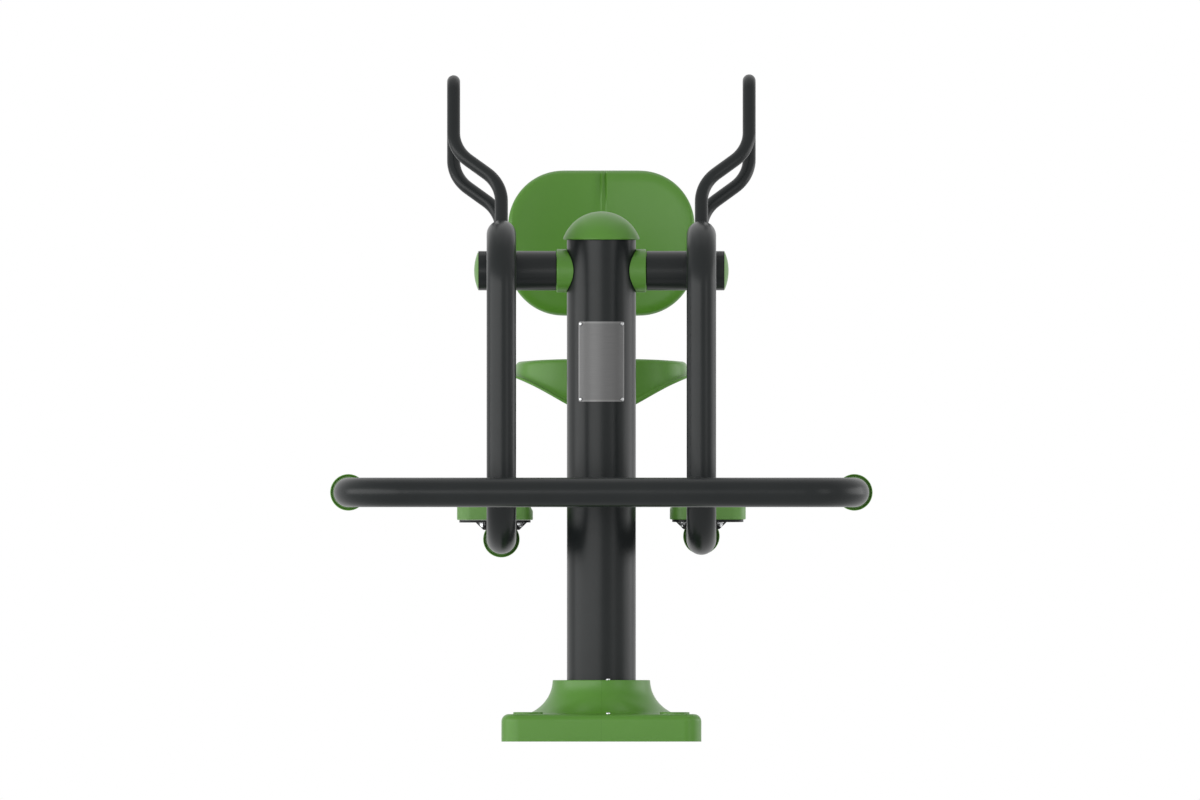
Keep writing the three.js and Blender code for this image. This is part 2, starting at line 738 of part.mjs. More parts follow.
// Stations of the arm tube, seen from the axle: rear end, lower bend, upright and hook over the axle.
function armStations() {
  const point = (y, z) => new THREE.Vector3(armOffset, y, z - axleHeight);
  const hookReach = bendRadius * Math.tan(radians(hookPastTurn) / 2);
  const hookCorner = point(bendRadius - armForward + hookReach, armTopHeight);
  const past = radians(hookPastTurn);
  const end = hookCorner.clone();
  end.add(new THREE.Vector3(0, Math.cos(past), -Math.sin(past)).multiplyScalar(hookReach + cutOverrun));
  const corners = [point(armRearReach, armBottomHeight), point(-armForward, armBottomHeight)];
  corners.push(point(-armForward, armTopHeight), hookCorner, end);
  return bentPath(corners, [bendRadius, bendRadius, bendRadius]);
}

// Stations of the loop handle: up the near leg, over the top and down the far leg.
function handleStations() {
  const lean = radians(handleLean);
  const point = (x, across, along) => {
    const y = across * Math.cos(lean) + along * Math.sin(lean);
    const z = along * Math.cos(lean) - across * Math.sin(lean);
    return new THREE.Vector3(x, y, z);
  };
  const near = handleFarOffset - handleSpacing;
  const far = handleFarOffset;
  const hookY = bendRadius - armForward;
  const hookZ = hookCentreHeight - axleHeight;
  const hookAcross = hookY * Math.cos(lean) - hookZ * Math.sin(lean);
  const hookAlong = hookY * Math.sin(lean) + hookZ * Math.cos(lean);
  const nearFoot = hookAlong + Math.sqrt(bendRadius ** 2 - (near - hookAcross) ** 2);
  const corners = [point(armOffset, near, nearFoot), point(armOffset, near, handleLowElbow)];
  corners.push(point(handleOffset, near, handleHighElbow), point(handleOffset, near, handleTopReach));
  corners.push(point(handleOffset, far, handleTopReach), point(handleOffset, far, handleHighElbow));
  corners.push(point(armOffset, far, handleLowElbow), point(armOffset, far, 0));
  const elbow = handleElbowRadius;
  const corner = handleCornerRadius;
  return bentPath(corners, [elbow, elbow, corner, corner, elbow, elbow]);
}

// The radius of a plug that goes into the flats of a tube's bore.
function plugRadius(bore) {
  return bore * Math.cos(Math.PI / tubeSides) - weldGap;
}

// Round end cap with a plug, on a tube that ends at a place along its axis.
function flangeCap(bore, end, axis) {
  const rim = endCapDiameter / 2;
  const plug = plugRadius(bore);
  const face = end + weldGap;
  const profile = [[face - endCapPlugDepth, 0], [face - endCapPlugDepth, plug], [face, plug]];
  profile.push([face, rim - endCapRound / 2], [face + endCapRound / 2, rim]);
  profile.push([face + endCapThickness - endCapRound, rim], [face + endCapThickness, rim - endCapRound]);
  profile.push([face + endCapThickness, 0]);
  return turned(profile, axis, hubSides);
}

// Arm tube, handle and end cap.
function makeArm(side, group) {
  const stations = armStations();
  const sleeve = barrel(sleeveRadius + weldGap, 0, sleeveOuterEnd, "x", hubSides);
  const tube = bentTube(stations, armRadius, armRadius - armWall, tubeSides, tubeSides);
  group.add(piece(`${side}_arm_tube`, cut(tube, sleeve), "anthracite"));
  const armBar = bentTube(stations, armRadius + weldGap, 0, tubeSides, 0);
  const radius = handleDiameter / 2;
  const loop = bentTube(handleStations(), radius, radius - handleWall, handleSides, handleBoreSides);
  group.add(piece(`${side}_handle`, cut(loop, sleeve, armBar), "anthracite"));
  const cap = flangeCap(armRadius - armWall, armRearReach, "y");
  const capPlace = [armOffset, 0, armBottomHeight - axleHeight];
  group.add(piece(`${side}_arm_end_cap`, cap.translate(capPlace), "green"));
}

// The cells under the pad's tread, with ribs between them that rest on the stud plate.
function padCells() {
  const width = (padWidth - padWall * (padCellColumns + 1)) / padCellColumns;
  const length = (padLength - padWall * (padCellRows + 1)) / padCellRows;
  const ceiling = padBottom + padHeight - padRecessDepth - padFloor;
  const cell = block([0, 0, padBottom - cutOverrun], [width, length, ceiling]);
  const cells = [];
  for (let column = 0; column < padCellColumns; column += 1) {
    for (let row = 0; row < padCellRows; row += 1) {
      const x = padWall - padWidth / 2 + column * (width + padWall);
      const y = padWall - padLength / 2 + row * (length + padWall);
      cells.push(cell.translate([x, y, 0]));
    }
  }
  const x = padWidth / 2 - padWall;
  const y = padLength / 2 - padWall;
  const round = padCorner - padWall;
  const inside = roundedPlate(x * 2, y * 2, round, padBottom - cutOverrun, ceiling);
  return joined(cells).intersect(inside);
}

// Foot pad, its welded bracket and the stud insert that is moulded into it.
function makePad(side, group) {
  const place = [armOffset + padOutboard, padFront + padLength / 2, -axleHeight];
  const top = padBottom + padHeight;
  const outline = new THREE.Shape();
  const x = padWidth / 2 - padChamfer;
  const y = padLength / 2 - padChamfer;
  const round = padCorner - padChamfer;
  outline.absarc(x - round, round - y, round, -Math.PI / 2, 0);
  outline.absarc(x - round, y - round, round, 0, Math.PI / 2);
  outline.absarc(round - x, y - round, round, Math.PI / 2, Math.PI);
  outline.absarc(round - x, round - y, round, Math.PI, (Math.PI * 3) / 2);
  const options = { depth: padHeight, bevelEnabled: true, bevelSegments: padChamferSteps };
  options.curveSegments = padCornerSteps;
  options.bevelThickness = padChamfer;
  options.bevelSize = padChamfer;
  const blank = new THREE.ExtrudeGeometry(outline, options);
  const padBody = solidOf(blank.translate(0, 0, padBottom - padChamfer));
  const below = block([-padWidth, -padLength, 0], [padWidth, padLength, padBottom]);
  const recess = roundedPlate(
    padWidth - padRimWidth * 2, padLength - padRimWidth * 2, padCorner - padRimWidth,
    top - padRecessDepth, top + padChamfer + cutOverrun,
  );
  const plateTop = padBottom - weldGap;
  const plateBottom = plateTop - padPlateThickness;
  const boltX = padBoltSpacing / 2;
  const boltY = padLength / 2 - padBoltInset;
  const studs = studInsert(boltX, boltY, padPlateThickness);
  const underPad = (solid) => solid.translate([-padOutboard, 0, plateBottom]);
  const edge = [[-padWidth / 2, top - padInnerChamferDepth], [padInnerChamferWidth - padWidth / 2, top]];
  edge.push([padInnerChamferWidth - padWidth / 2, top + padChamfer]);
  edge.push([-padWidth, top + padChamfer], [-padWidth, top - padInnerChamferDepth]);
  const slope = solidOf(flatPlate(edge, padLength * 2).rotateX(Math.PI / 2));
  const pad = cut(padBody, below, recess, slope, padCells(), underPad(studs.pocket));
  group.add(piece(`${side}_pad`, pad.translate(place), "green"));
  group.add(piece(`${side}_pad_insert`, underPad(studs.insert).translate(place), "zinc"));
  const plateWidth = padWidth - padPlateInset * 2;
  const plateLength = padLength - padPlateInset * 2;
  const corner = padCorner - padPlateInset;
  const plate = roundedPlate(plateWidth, plateLength, corner, plateBottom, plateTop);
  const ribTop = plateTop - padPlateThickness / 2;
  const halfTop = padRibTopWidth / 2;
  const halfFoot = padRibFootWidth / 2;
  const trapezoid = [[-halfTop, ribTop], [halfTop, ribTop], [halfTop, plateBottom]];
  trapezoid.push([halfFoot, plateBottom - padRibDepth], [-halfFoot, plateBottom - padRibDepth]);
  trapezoid.push([-halfTop, plateBottom]);
  const rib = solidOf(flatPlate(trapezoid, padRibThickness).rotateX(Math.PI / 2));
  const beam = barrel(armRadius + weldGap, -padLength, padLength, "y", tubeSides);
  const ribs = [-1, 1].map((end) => rib.translate([0, end * (padLength / 2 - padRibInset), 0]));
  const placedRibs = joined(ribs).translate([-padOutboard, 0, 0]);
  const placedBeam = beam.translate([-padOutboard, 0, armBottomHeight]);
  const bracket = cut(plate.add(placedRibs), placedBeam, underPad(studs.holes));
  group.add(piece(`${side}_pad_bracket`, bracket.translate(place), "black"));
}

// Curved nameplate on the post's front, and its rivets.
function makeNameplate() {
  const inner = postRadius + weldGap;
  const half = Math.asin(nameplateWidth / 2 / (inner + nameplateThickness));
  const outline = new THREE.Shape();
  const front = -Math.PI / 2;
  outline.absarc(0, 0, inner + nameplateThickness, front - half, front + half, false);
  outline.absarc(0, 0, inner, front + half, front - half, true);
  const options = { depth: nameplateHeight, bevelEnabled: false, curveSegments: nameplateSteps };
  const geometry = new THREE.ExtrudeGeometry(outline, options).translate(0, 0, nameplateBottom);
  const holes = rivetsWith((rivetDiameter + rivetPlay) / 2, rivetDiameter + rivetPlay);
  frameGroup.add(piece("nameplate", cut(solidOf(geometry), ...holes), "aluminium"));
  rivetsWith(rivetDiameter / 2, rivetHeadDiameter).forEach((rivet, i) => {
    frameGroup.add(piece(`nameplate_rivet_${i + 1}`, rivet, "zinc"));
  });
}

// Guard bar, its two end caps and the strut to the post.
function makeGuard() {
  const point = (x, y) => new THREE.Vector3(x, y, guardHeight);
  const corners = [point(-guardOffset, guardRear), point(-guardOffset, -guardForward)];
  corners.push(point(guardOffset, -guardForward), point(guardOffset, guardRear));
  const stations = bentPath(corners, [bendRadius, bendRadius]);
  const bar = bentTube(stations, guardRadius, guardRadius - guardWall, tubeSides, tubeSides);
  frameGroup.add(piece("guard_bar", bar, "anthracite"));
  const cap = flangeCap(guardRadius - guardWall, guardRear, "y");
  for (const [side, sign] of [["left", -1], ["right", 1]]) {
    const place = [sign * guardOffset, 0, guardHeight];
    frameGroup.add(piece(`${side}_guard_cap`, cap.translate(place), "green"));
  }
  const strut = pipe(strutDiameter / 2, strutDiameter / 2 - strutWall, -guardForward, 0, "y", hubSides);
  const post = barrel(postFront, 0, postTop, "z", postSides);
  const rail = bentTube(stations, guardRadius + weldGap, 0, tubeSides, 0);
  const placed = strut.translate([0, 0, guardHeight]);
  frameGroup.add(piece("guard_strut", cut(placed, post, rail), "anthracite"));
}

// Beam from the post to the seat and up behind the backrest, with its welded ribs and its top plug.
function makeBeam() {
  const point = (y, z) => new THREE.Vector3(0, y, z);
  const corners = [point(0, beamHeight), point(beamRear, beamHeight), point(beamRear, beamTop)];
  const stations = bentPath(corners, [bendRadius]);
  const post = barrel(postFront, 0, postTop, "z", postSides);
  const beamBar = bentTube(stations, beamRadius, 0, tubeSides, 0);
  const bore = bentTube(stations, beamRadius - beamWall, 0, tubeSides, 0);
  const overrun = beamRadius - beamWall / 2;
  const ribs = [-1, 1].map((sign) => {
    const outline = [[postFront, sign * overrun], [postFront + beamRibSize, sign * overrun]];
    outline.push([postFront + beamRibSize, sign * beamRadius]);
    outline.push([postFront, sign * (beamRadius + beamRibSize)]);
    const rib = flatPlate(outline, beamRibThickness).rotateX(Math.PI / 2).rotateZ(Math.PI / 2);
    return solidOf(rib.translate(0, 0, beamHeight));
  });
  const openTop = barrel(beamRadius - beamWall, beamTop - cutOverrun, beamTop + cutOverrun, "z", tubeSides);
  const tube = cut(beamBar.add(joined(ribs)), bore, post, openTop.translate([0, beamRear, 0]));
  frameGroup.add(piece("seat_beam", tube, "anthracite"));
  const plug = plugRadius(beamRadius - beamWall);
  const face = beamTop + weldGap;
  const profile = [[face - endCapPlugDepth, 0], [face - endCapPlugDepth, plug], [face, plug]];
  profile.push([face, beamRadius], [face + plugCapThickness, beamRadius - endCapRound]);
  profile.push([face + plugCapThickness, 0]);
  const cap = turned(profile, "z", hubSides).translate([0, beamRear, 0]);
  frameGroup.add(piece("seat_beam_cap", cap, "black"));
}

// A steel plate with four studs, moulded into a plastic piece a little above its underside, and the
// nuts on the studs under the carrier plate. Height 0 is the carrier's underside. The pocket is the
// room it takes in the plastic, and the holes are the room its studs take in the carrier.
function studInsert(halfX, halfY, carrierWall) {
  const plateFrom = carrierWall + weldGap + insertCover;
  const plateTo = plateFrom + insertThickness;
  const margin = insertMargin;
  const plate = block([-halfX - margin, -halfY - margin, plateFrom], [halfX + margin, halfY + margin, plateTo]);
  const grown = margin + weldGap;
  const pocketLow = [-halfX - grown, -halfY - grown, plateFrom - weldGap];
  const slot = block(pocketLow, [halfX + grown, halfY + grown, plateTo + weldGap]);
  const nutProfile = [[-weldGap - studNutHeight, 0], [-weldGap - studNutHeight, studNutDiameter / 2]];
  nutProfile.push([-weldGap, studNutDiameter / 2], [-weldGap, studDiameter / 2]);
  nutProfile.push([plateFrom + insertThickness / 2, studDiameter / 2]);
  nutProfile.push([plateFrom + insertThickness / 2, 0]);
  const stud = turned(nutProfile, "z", hexSides);
  const hole = barrel(studDiameter / 2 + studPlay, -cutOverrun, plateFrom, "z", smallSides);
  const places = fourCorners(halfX, halfY);
  const spread = (solid) => joined(places.map(([x, y]) => solid.translate([x, y, 0])));
  const holes = spread(hole);
  return { insert: plate.add(spread(stud)), pocket: slot.add(holes), holes };
}

// Seat with its mounting block, stud insert, carrier plate and pedestal.
function makeSeat() {
  const middle = seatTop - seatShell / 2;
  const dropAt = (across, up, out) => {
    const side = seatSideDrop * Math.abs(across * out) ** seatSidePowerShare;
    const aside = ((across * out * seatHalfWidth) / seatNoseHalfWidth) ** 2;
    const nose = (seatNoseDrop * (1 - aside)) / (1 + seatNoseTaperShare * aside);
    const facing = THREE.MathUtils.smoothstep(up, -seatApronTurnShare, seatApronTurnShare);
    const rimDrop = seatSkirtDepth + (seatApronDepth + nose - seatSkirtDepth) * facing;
    const fall = THREE.MathUtils.smoothstep(out, seatSkirtStartShare, seatSkirtEndShare);
    return side + seatDish * (1 - out * out) + (rimDrop - side * facing) * fall;
  };
  const outlines = { powerShare: seatOutlinePowerShare, ringPowerShare: seatRingPowerShare };
  const walls = { thickness: seatShell, sideWall: seatSkirtWall };
  const shape = mouldedShell(seatHalfWidth, seatHalfDepth, outlines, walls, dropAt);
  const shell = solidOf(shape.rotateX(-Math.PI / 2)).mirror([0, 1, 0]);
  const placed = shell.translate([0, seatRear, middle]);
  const x = seatPlateWidth / 2;
  const y = seatPlateLength / 2;
  const blockTop = seatTop - seatShell / 2 - seatDish;
  const mount = block([-x, seatRear - y, seatPlateTop + weldGap], [x, seatRear + y, blockTop]);
  const plateBottom = seatPlateTop - carrierThickness;
  const studs = studInsert(x - studInset, y - studInset, carrierThickness);
  const under = (solid) => solid.translate([0, seatRear, plateBottom]);
  frameGroup.add(piece("seat", cut(placed.add(mount), under(studs.pocket)), "green"));
  frameGroup.add(piece("seat_insert", under(studs.insert), "zinc"));
  const plate = block([-x, seatRear - y, plateBottom], [x, seatRear + y, seatPlateTop]);
  frameGroup.add(piece("seat_plate", cut(plate, under(studs.holes)), "black"));
  const radius = pedestalDiameter / 2;
  const tube = pipe(radius, radius - pedestalWall, beamHeight, plateBottom - weldGap, "z", hubSides);
  const beam = barrel(beamRadius + weldGap, 0, beamRear - bendRadius, "y", tubeSides);
  const pedestal = cut(tube.translate([0, seatRear, 0]), beam.translate([0, 0, beamHeight]));
  frameGroup.add(piece("seat_pedestal", pedestal, "anthracite"));
}

// Backrest with its mounting block, stud insert and carrier plate.
function makeBackrest() {
  const offsetAt = (across, up, out) => {
    const wrap = -backrestWrap * (across * out) ** 2;
    return wrap + backrestBow * (up * out) ** 2;
  };
  const outlines = { powerShare: backrestOutlinePowerShare, ringPowerShare: backrestRingPowerShare };
  const walls = { thickness: backrestShell, sideWall: 0 };
  const shape = mouldedShell(backrestHalfWidth, backrestHalfHeight, outlines, walls, offsetAt);
  const placed = solidOf(shape).translate([0, backrestRear, backrestMiddle]);
  const x = backrestPlateWidth / 2;
  const z = backrestPlateHeight / 2;
  const blockEnd = backrestPlateFront - weldGap;
  const low = [-x, backrestRear, backrestMiddle - z];
  const mount = block(low, [x, blockEnd, backrestMiddle + z]);
  const plateEnd = backrestPlateFront + carrierThickness;
  const studs = studInsert(x - studInset, z - studInset, carrierThickness);
  const facing = (solid) => solid.rotate([quarterTurn, 0, 0]).translate([0, plateEnd, backrestMiddle]);
  frameGroup.add(piece("backrest", cut(placed.add(mount), facing(studs.pocket)), "green"));
  frameGroup.add(piece("backrest_insert", facing(studs.insert), "zinc"));
  const plateLow = [-x, backrestPlateFront, backrestMiddle - z];
  const plate = block(plateLow, [x, plateEnd, backrestMiddle + z]);
  frameGroup.add(piece("backrest_plate", cut(plate, facing(studs.holes)), "black"));
}

// Both sides are made on the right and the left one is mirrored. Arms hang in a group at the axle.
function makeSide(side, sign, restTurn) {
  const fixed = new THREE.Group();
  fixed.position.z = axleHeight;
  fixed.scale.x = sign;
  makeAxleEnd(side, fixed);
  frameGroup.add(fixed);
  const swinging = new THREE.Group();
  swinging.position.z = axleHeight;
  swinging.scale.x = sign;
  swinging.rotation.x = radians(restTurn);
  makeHub(side, swinging);
  makeArm(side, swinging);
  makePad(side, swinging);
  bodies.add(swinging);
}

makeBase();
makePost();
makeCover();
makeAxle();
makeSide("left", -1, 0);
makeSide("right", 1, rightArmRestTurn);
makeNameplate();
makeGuard();
makeBeam();
makeSeat();
makeBackrest();

export default bodies;
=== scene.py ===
import json
import math

import bmesh
import bpy
from bpy.props import FloatProperty, FloatVectorProperty, PointerProperty
from bpy.types import Operator, Panel, PropertyGroup
from mathutils import Matrix, Vector


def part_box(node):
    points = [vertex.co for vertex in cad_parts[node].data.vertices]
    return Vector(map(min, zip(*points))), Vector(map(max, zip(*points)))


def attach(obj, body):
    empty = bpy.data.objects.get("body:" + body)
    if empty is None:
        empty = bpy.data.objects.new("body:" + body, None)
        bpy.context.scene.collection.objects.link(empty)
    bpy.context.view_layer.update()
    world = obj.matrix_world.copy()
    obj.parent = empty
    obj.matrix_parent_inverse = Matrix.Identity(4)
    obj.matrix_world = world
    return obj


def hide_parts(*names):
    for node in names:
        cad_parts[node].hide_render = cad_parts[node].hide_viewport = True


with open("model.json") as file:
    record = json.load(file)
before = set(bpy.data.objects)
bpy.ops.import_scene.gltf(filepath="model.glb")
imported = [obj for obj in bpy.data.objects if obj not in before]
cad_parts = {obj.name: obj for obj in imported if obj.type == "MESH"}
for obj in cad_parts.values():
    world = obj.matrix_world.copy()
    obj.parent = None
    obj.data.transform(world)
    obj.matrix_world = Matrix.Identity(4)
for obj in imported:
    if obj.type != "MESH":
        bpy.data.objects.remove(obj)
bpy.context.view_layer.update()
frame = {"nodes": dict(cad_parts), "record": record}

bl_info = {
    "name": "Outdoor Air Walker",
    "version": (1, 0, 0),
    "blender": (4, 5, 0),
    "location": "3D View > Sidebar > Air Walker",
    "description": "Builds the visible pieces, finishes, floor and lights of a seated outdoor air walker",
    "category": "Add Mesh",
}

X_AXIS = Vector((1, 0, 0))
Y_AXIS = Vector((0, 1, 0))
Z_AXIS = Vector((0, 0, 1))
SIDES = (("left", -1), ("right", 1))

# Gap between pieces that are welded or pressed together, and distances that count as none
WELD_GAP = 0.0003
MERGE_DISTANCE = 0.00001
TINY = 1e-6

# How finely round shapes are divided
STUD_SIDES, SMALL_SIDES, TUBE_SIDES, GUARD_SIDES = 24, 32, 48, 56
BEAM_SIDES, HUB_SIDES, POST_SIDES, SADDLE_SIDES = 64, 80, 96, 128
BEND_STEP = math.radians(5)

# Exponent of the seat's rounded outline
OUTLINE_POWER = 3.6


def length(name, description, default):
    return FloatProperty(name=name, description=description, default=default, unit="LENGTH", precision=4)


def turn(name, description, default):
    return FloatProperty(name=name, description=description, default=math.radians(default), subtype="ANGLE")


def share(name, description, default):
    return FloatProperty(
        name=name, description=description, default=default, subtype="FACTOR", min=0, max=1
    )


def power(name, description, default):
    return FloatProperty(name=name, description=description, default=default, unit="POWER")


def colour(name, description, default):
    return FloatVectorProperty(
        name=name, description=description, default=default, subtype="COLOR", size=3, min=0, max=1
    )


# Sizes and colours that a user would change


class PostSizes(PropertyGroup):
    radius: length("Post radius", "Outside radius of the post tube", 0.07)
    top: length("Post top", "Height of the post tube's upper end", 1.019)
    wall: length("Post wall", "Wall of the post tube", 0.004)
    cap_radius: length("Cap radius", "Radius of the dome cap's rim", 0.0775)
    cap_height: length("Cap height", "Height of the dome cap above the post", 0.057)
    plate_width: length("Nameplate width", "Width of the nameplate along the post's round", 0.1012)
    plate_height: length("Nameplate height", "Height of the nameplate", 0.163)
    plate_bottom: length("Nameplate bottom", "Height of the nameplate's lower edge", 0.69)
    plate_thickness: length("Nameplate thickness", "Thickness of the nameplate", 0.0015)


class CoverSizes(PropertyGroup):
    side: length("Cover side", "Side of the square base cover", 0.406)
    height: length("Slab height", "Height of the cover's slab", 0.056)
    corner: length("Slab corner", "Radius of the slab's upright corners", 0.036)
    top_round: length("Slab edge round", "Radius of the slab's upper edge", 0.015)
    wall: length("Cover wall", "Wall of the moulded cover", 0.004)
    neck_radius: length("Neck radius", "Radius of the neck's upper end", 0.099)
    neck_height: length("Neck height", "Height of the neck's upper end", 0.125)
    flare_width: length("Flare width", "Width of the flare's curve", 0.084)
    flare_depth: length("Flare depth", "Depth of the flare's curve", 0.075)
    boss_radius: length("Anchor boss radius", "Radius of the low bosses over the anchors", 0.03)
    boss_place: length("Anchor boss place", "Distance of the bosses from the middle, along X and Y", 0.149)


class AxleSizes(PropertyGroup):
    height: length("Axle height", "Height of the cross axle", 0.956)
    collar_radius: length("Collar radius", "Outside radius of the green collars", 0.0438)
    collar_end: length("Collar end", "Distance of a collar's outer face from the middle", 0.0907)
    sleeve_radius: length("Sleeve radius", "Outside radius of the swinging sleeves", 0.04)
    sleeve_start: length("Sleeve inner end", "Distance of a sleeve's inner end from the middle", 0.0917)
    sleeve_end: length("Sleeve outer end", "Distance of a sleeve's outer end from the middle", 0.2495)
    cap_bulge: length("Hub cap bulge", "How far a hub cap's dome stands out", 0.0085)


class ArmSizes(PropertyGroup):
    offset: length("Arm offset", "Distance of an arm tube from the middle", 0.203)
    radius: length("Tube radius", "Radius of the arm tube and of the guard bar", 0.03)
    bend: length("Bend radius", "Bend radius of the thick tubes", 0.105)
    forward: length("Arm reach forward", "How far the arm's upright stands in front of the axle", 0.212)
    top: length("Arm top", "Height of the arm's upper run", 1.029)
    bottom: length("Arm bottom", "Height of the arm's lower run", 0.411)
    rear: length("Arm reach rearward", "How far the arm's lower run reaches behind the axle", 0.312)
    hook: turn("Hook turn", "How far the hook turns down past level", 68)
    rest_turn: turn("Right arm turn", "How far the right arm is turned about the axle at rest", 1.1)


class HandleSizes(PropertyGroup):
    radius: length("Handle radius", "Radius of the loop handle's tube", 0.0133)
    offset: length("Handle offset", "Distance of a loop's upper part from the middle", 0.3)
    lean: turn("Handle lean", "How far the loops lean towards the seat", 26.8)
    spacing: length("Leg spacing", "Distance between a loop's two legs", 0.1255)
    far: length("Far leg place", "Distance of the far leg behind the axle, across the lean", 0.0163)
    low: length("Low elbow", "Distance of the lower elbows from the axle", 0.142)
    high: length("High elbow", "Distance of the upper elbows from the axle", 0.22)
    reach: length("Loop reach", "Distance of the loop's cross bar from the axle", 0.3881)
    elbow: length("Elbow radius", "Bend radius of the elbows", 0.08)
    corner: length("Corner radius", "Bend radius of the loop's upper corners", 0.035)


class PadSizes(PropertyGroup):
    width: length("Pad width", "Width of a foot pad", 0.154)
    length: length("Pad length", "Length of a foot pad", 0.278)
    front: length("Pad front", "Distance of a pad's front edge behind the axle", 0.03)
    outboard: length("Pad outboard", "How far a pad's middle stands outside its arm", 0.013)
    bottom: length("Pad bottom", "Height of a pad's underside", 0.45)
    height: length("Pad height", "Height of a pad", 0.034)
    corner: length("Pad corner", "Radius of a pad's upright corners", 0.028)
    rim: length("Pad rim", "Width of the rim round the tread", 0.012)
    recess: length("Tread depth", "Depth of the tread below the rim", 0.007)
    slope_width: length("Slope width", "Width of the slope along the upper edge next to the post", 0.0085)
    slope_depth: length("Slope depth", "Depth of the slope along the upper edge next to the post", 0.016)


class GuardSizes(PropertyGroup):
    offset: length("Guard offset", "Distance of the guard bar's legs from the middle", 0.5135)
    forward: length("Guard reach", "How far the guard bar stands in front of the post", 0.44)
    rear: length("Guard leg end", "How far the legs reach behind the post's middle", 0.02)
    height: length("Guard height", "Height of the guard bar", 0.506)
    strut_radius: length("Strut radius", "Radius of the strut from the post", 0.025)
    cap_radius: length("End cap radius", "Radius of the round end caps", 0.037)
    cap_thickness: length("End cap thickness", "Thickness of the round end caps", 0.008)


class SeatSizes(PropertyGroup):
    beam_height: length("Beam height", "Height of the seat beam", 0.6)
    beam_rear: length("Beam rear", "Distance of the beam's upright behind the post", 0.6516)
    beam_top: length("Beam top", "Height of the beam's upright", 1.06)
    middle: length("Seat middle", "Distance of the seat's middle behind the post", 0.43)
    half_width: length("Seat half width", "Half of the seat's width", 0.188)
    half_depth: length("Seat half depth", "Half of the seat's depth", 0.165)
    top: length("Seat top", "Height above which the seat doesn't reach", 0.7786)
    flare: length("Flare depth", "Depth of the flared foot of the front apron at its middle", 0.007)
    shell: length("Shell thickness", "Thickness of the moulded backrest", 0.012)
    side_drop: length("Side drop", "How far the seat's sides droop", 0.008)
    dish: length("Seat dish", "How deep the seat is dished", 0.007)
    wall: length("Moulding wall", "Wall of the moulded seat", 0.005)
    edge_round: length("Edge round", "Radius with which the seat's top turns down into its skirt", 0.009)
    skirt: length("Skirt depth", "Depth of the skirt round the sides and the rear", 0.024)
    apron: length("Apron depth", "Depth of the front apron towards its ends", 0.0326)
    nose_drop: length("Nose drop", "Further depth at the middle of the front apron", 0.077)
    nose_half_width: length("Nose half width", "Half of the width over which the apron is deeper", 0.171)
    back_middle: length("Backrest middle", "Height of the backrest's middle", 1.012)
    back_place: length("Backrest place", "Distance of the backrest behind the post", 0.6)
    back_half_width: length("Backrest half width", "Half of the backrest's width", 0.1895)
    back_half_height: length("Backrest half height", "Half of the backrest's height", 0.1474)
    back_corner: length("Backrest corner", "Radius of the backrest's corners", 0.112)
    back_wrap: length("Backrest wrap", "How far the backrest's wings come forward", 0.034)
    back_bow: length("Backrest bow", "How far the upper and lower edges bow back", 0.008)


class FinishColours(PropertyGroup):
    coat: colour("Powder coat", "Anthracite coat of the steel tubes", (0.0085, 0.0106, 0.011))
    coat_light: colour(
        "Powder coat, light", "Lighter mottle in the anthracite coat", (0.0118, 0.0142, 0.0146)
    )
    green: colour("Green plastic", "Moulded green plastic", (0.091, 0.253, 0.0285))
    green_deep: colour("Green plastic, deep", "Deeper mottle in the green plastic", (0.082, 0.238, 0.0235))
    black: colour("Black coat", "Coat of the brackets and carrier plates", (0.011, 0.012, 0.013))
    zinc: colour("Zinc", "Bright zinc of the screws and nuts", (0.6, 0.61, 0.62))
    plate: colour("Nameplate metal", "Brushed metal of the nameplate", (0.15, 0.15, 0.15))
    grain: share("Grain", "Strength of the fine grain on coats and plastic", 0.25)


class StageSettings(PropertyGroup):
    stand_off: length("Stand-off", "Distance of the camera from the post", 9)
    view_width: length("View width", "Width of the picture at the post", 2.436)
    view_height: length("View height", "Height of the picture's middle", 0.6935)
    view_middle: length("View middle", "Place of the picture's middle along X", -0.0028)
    left: power("Left light", "Power of the soft box on the left", 152)
    rim: power("Rim light", "Power of the soft box behind on the right", 37)
    fill: power("Fill light", "Power of the soft box on the right", 9)
    top: power("Top light", "Power of the soft box above", 11)
    ambient: share("Ambient", "Level of the even light from all round", 0.5)


class WalkerSettings(PropertyGroup):
    post: PointerProperty(type=PostSizes)
    cover: PointerProperty(type=CoverSizes)
    axle: PointerProperty(type=AxleSizes)
    arm: PointerProperty(type=ArmSizes)
    handle: PointerProperty(type=HandleSizes)
    pad: PointerProperty(type=PadSizes)
    guard: PointerProperty(type=GuardSizes)
    seat: PointerProperty(type=SeatSizes)
    finish: PointerProperty(type=FinishColours)
    stage: PointerProperty(type=StageSettings)


def settings():
    return bpy.context.scene.air_walker


# Finishes


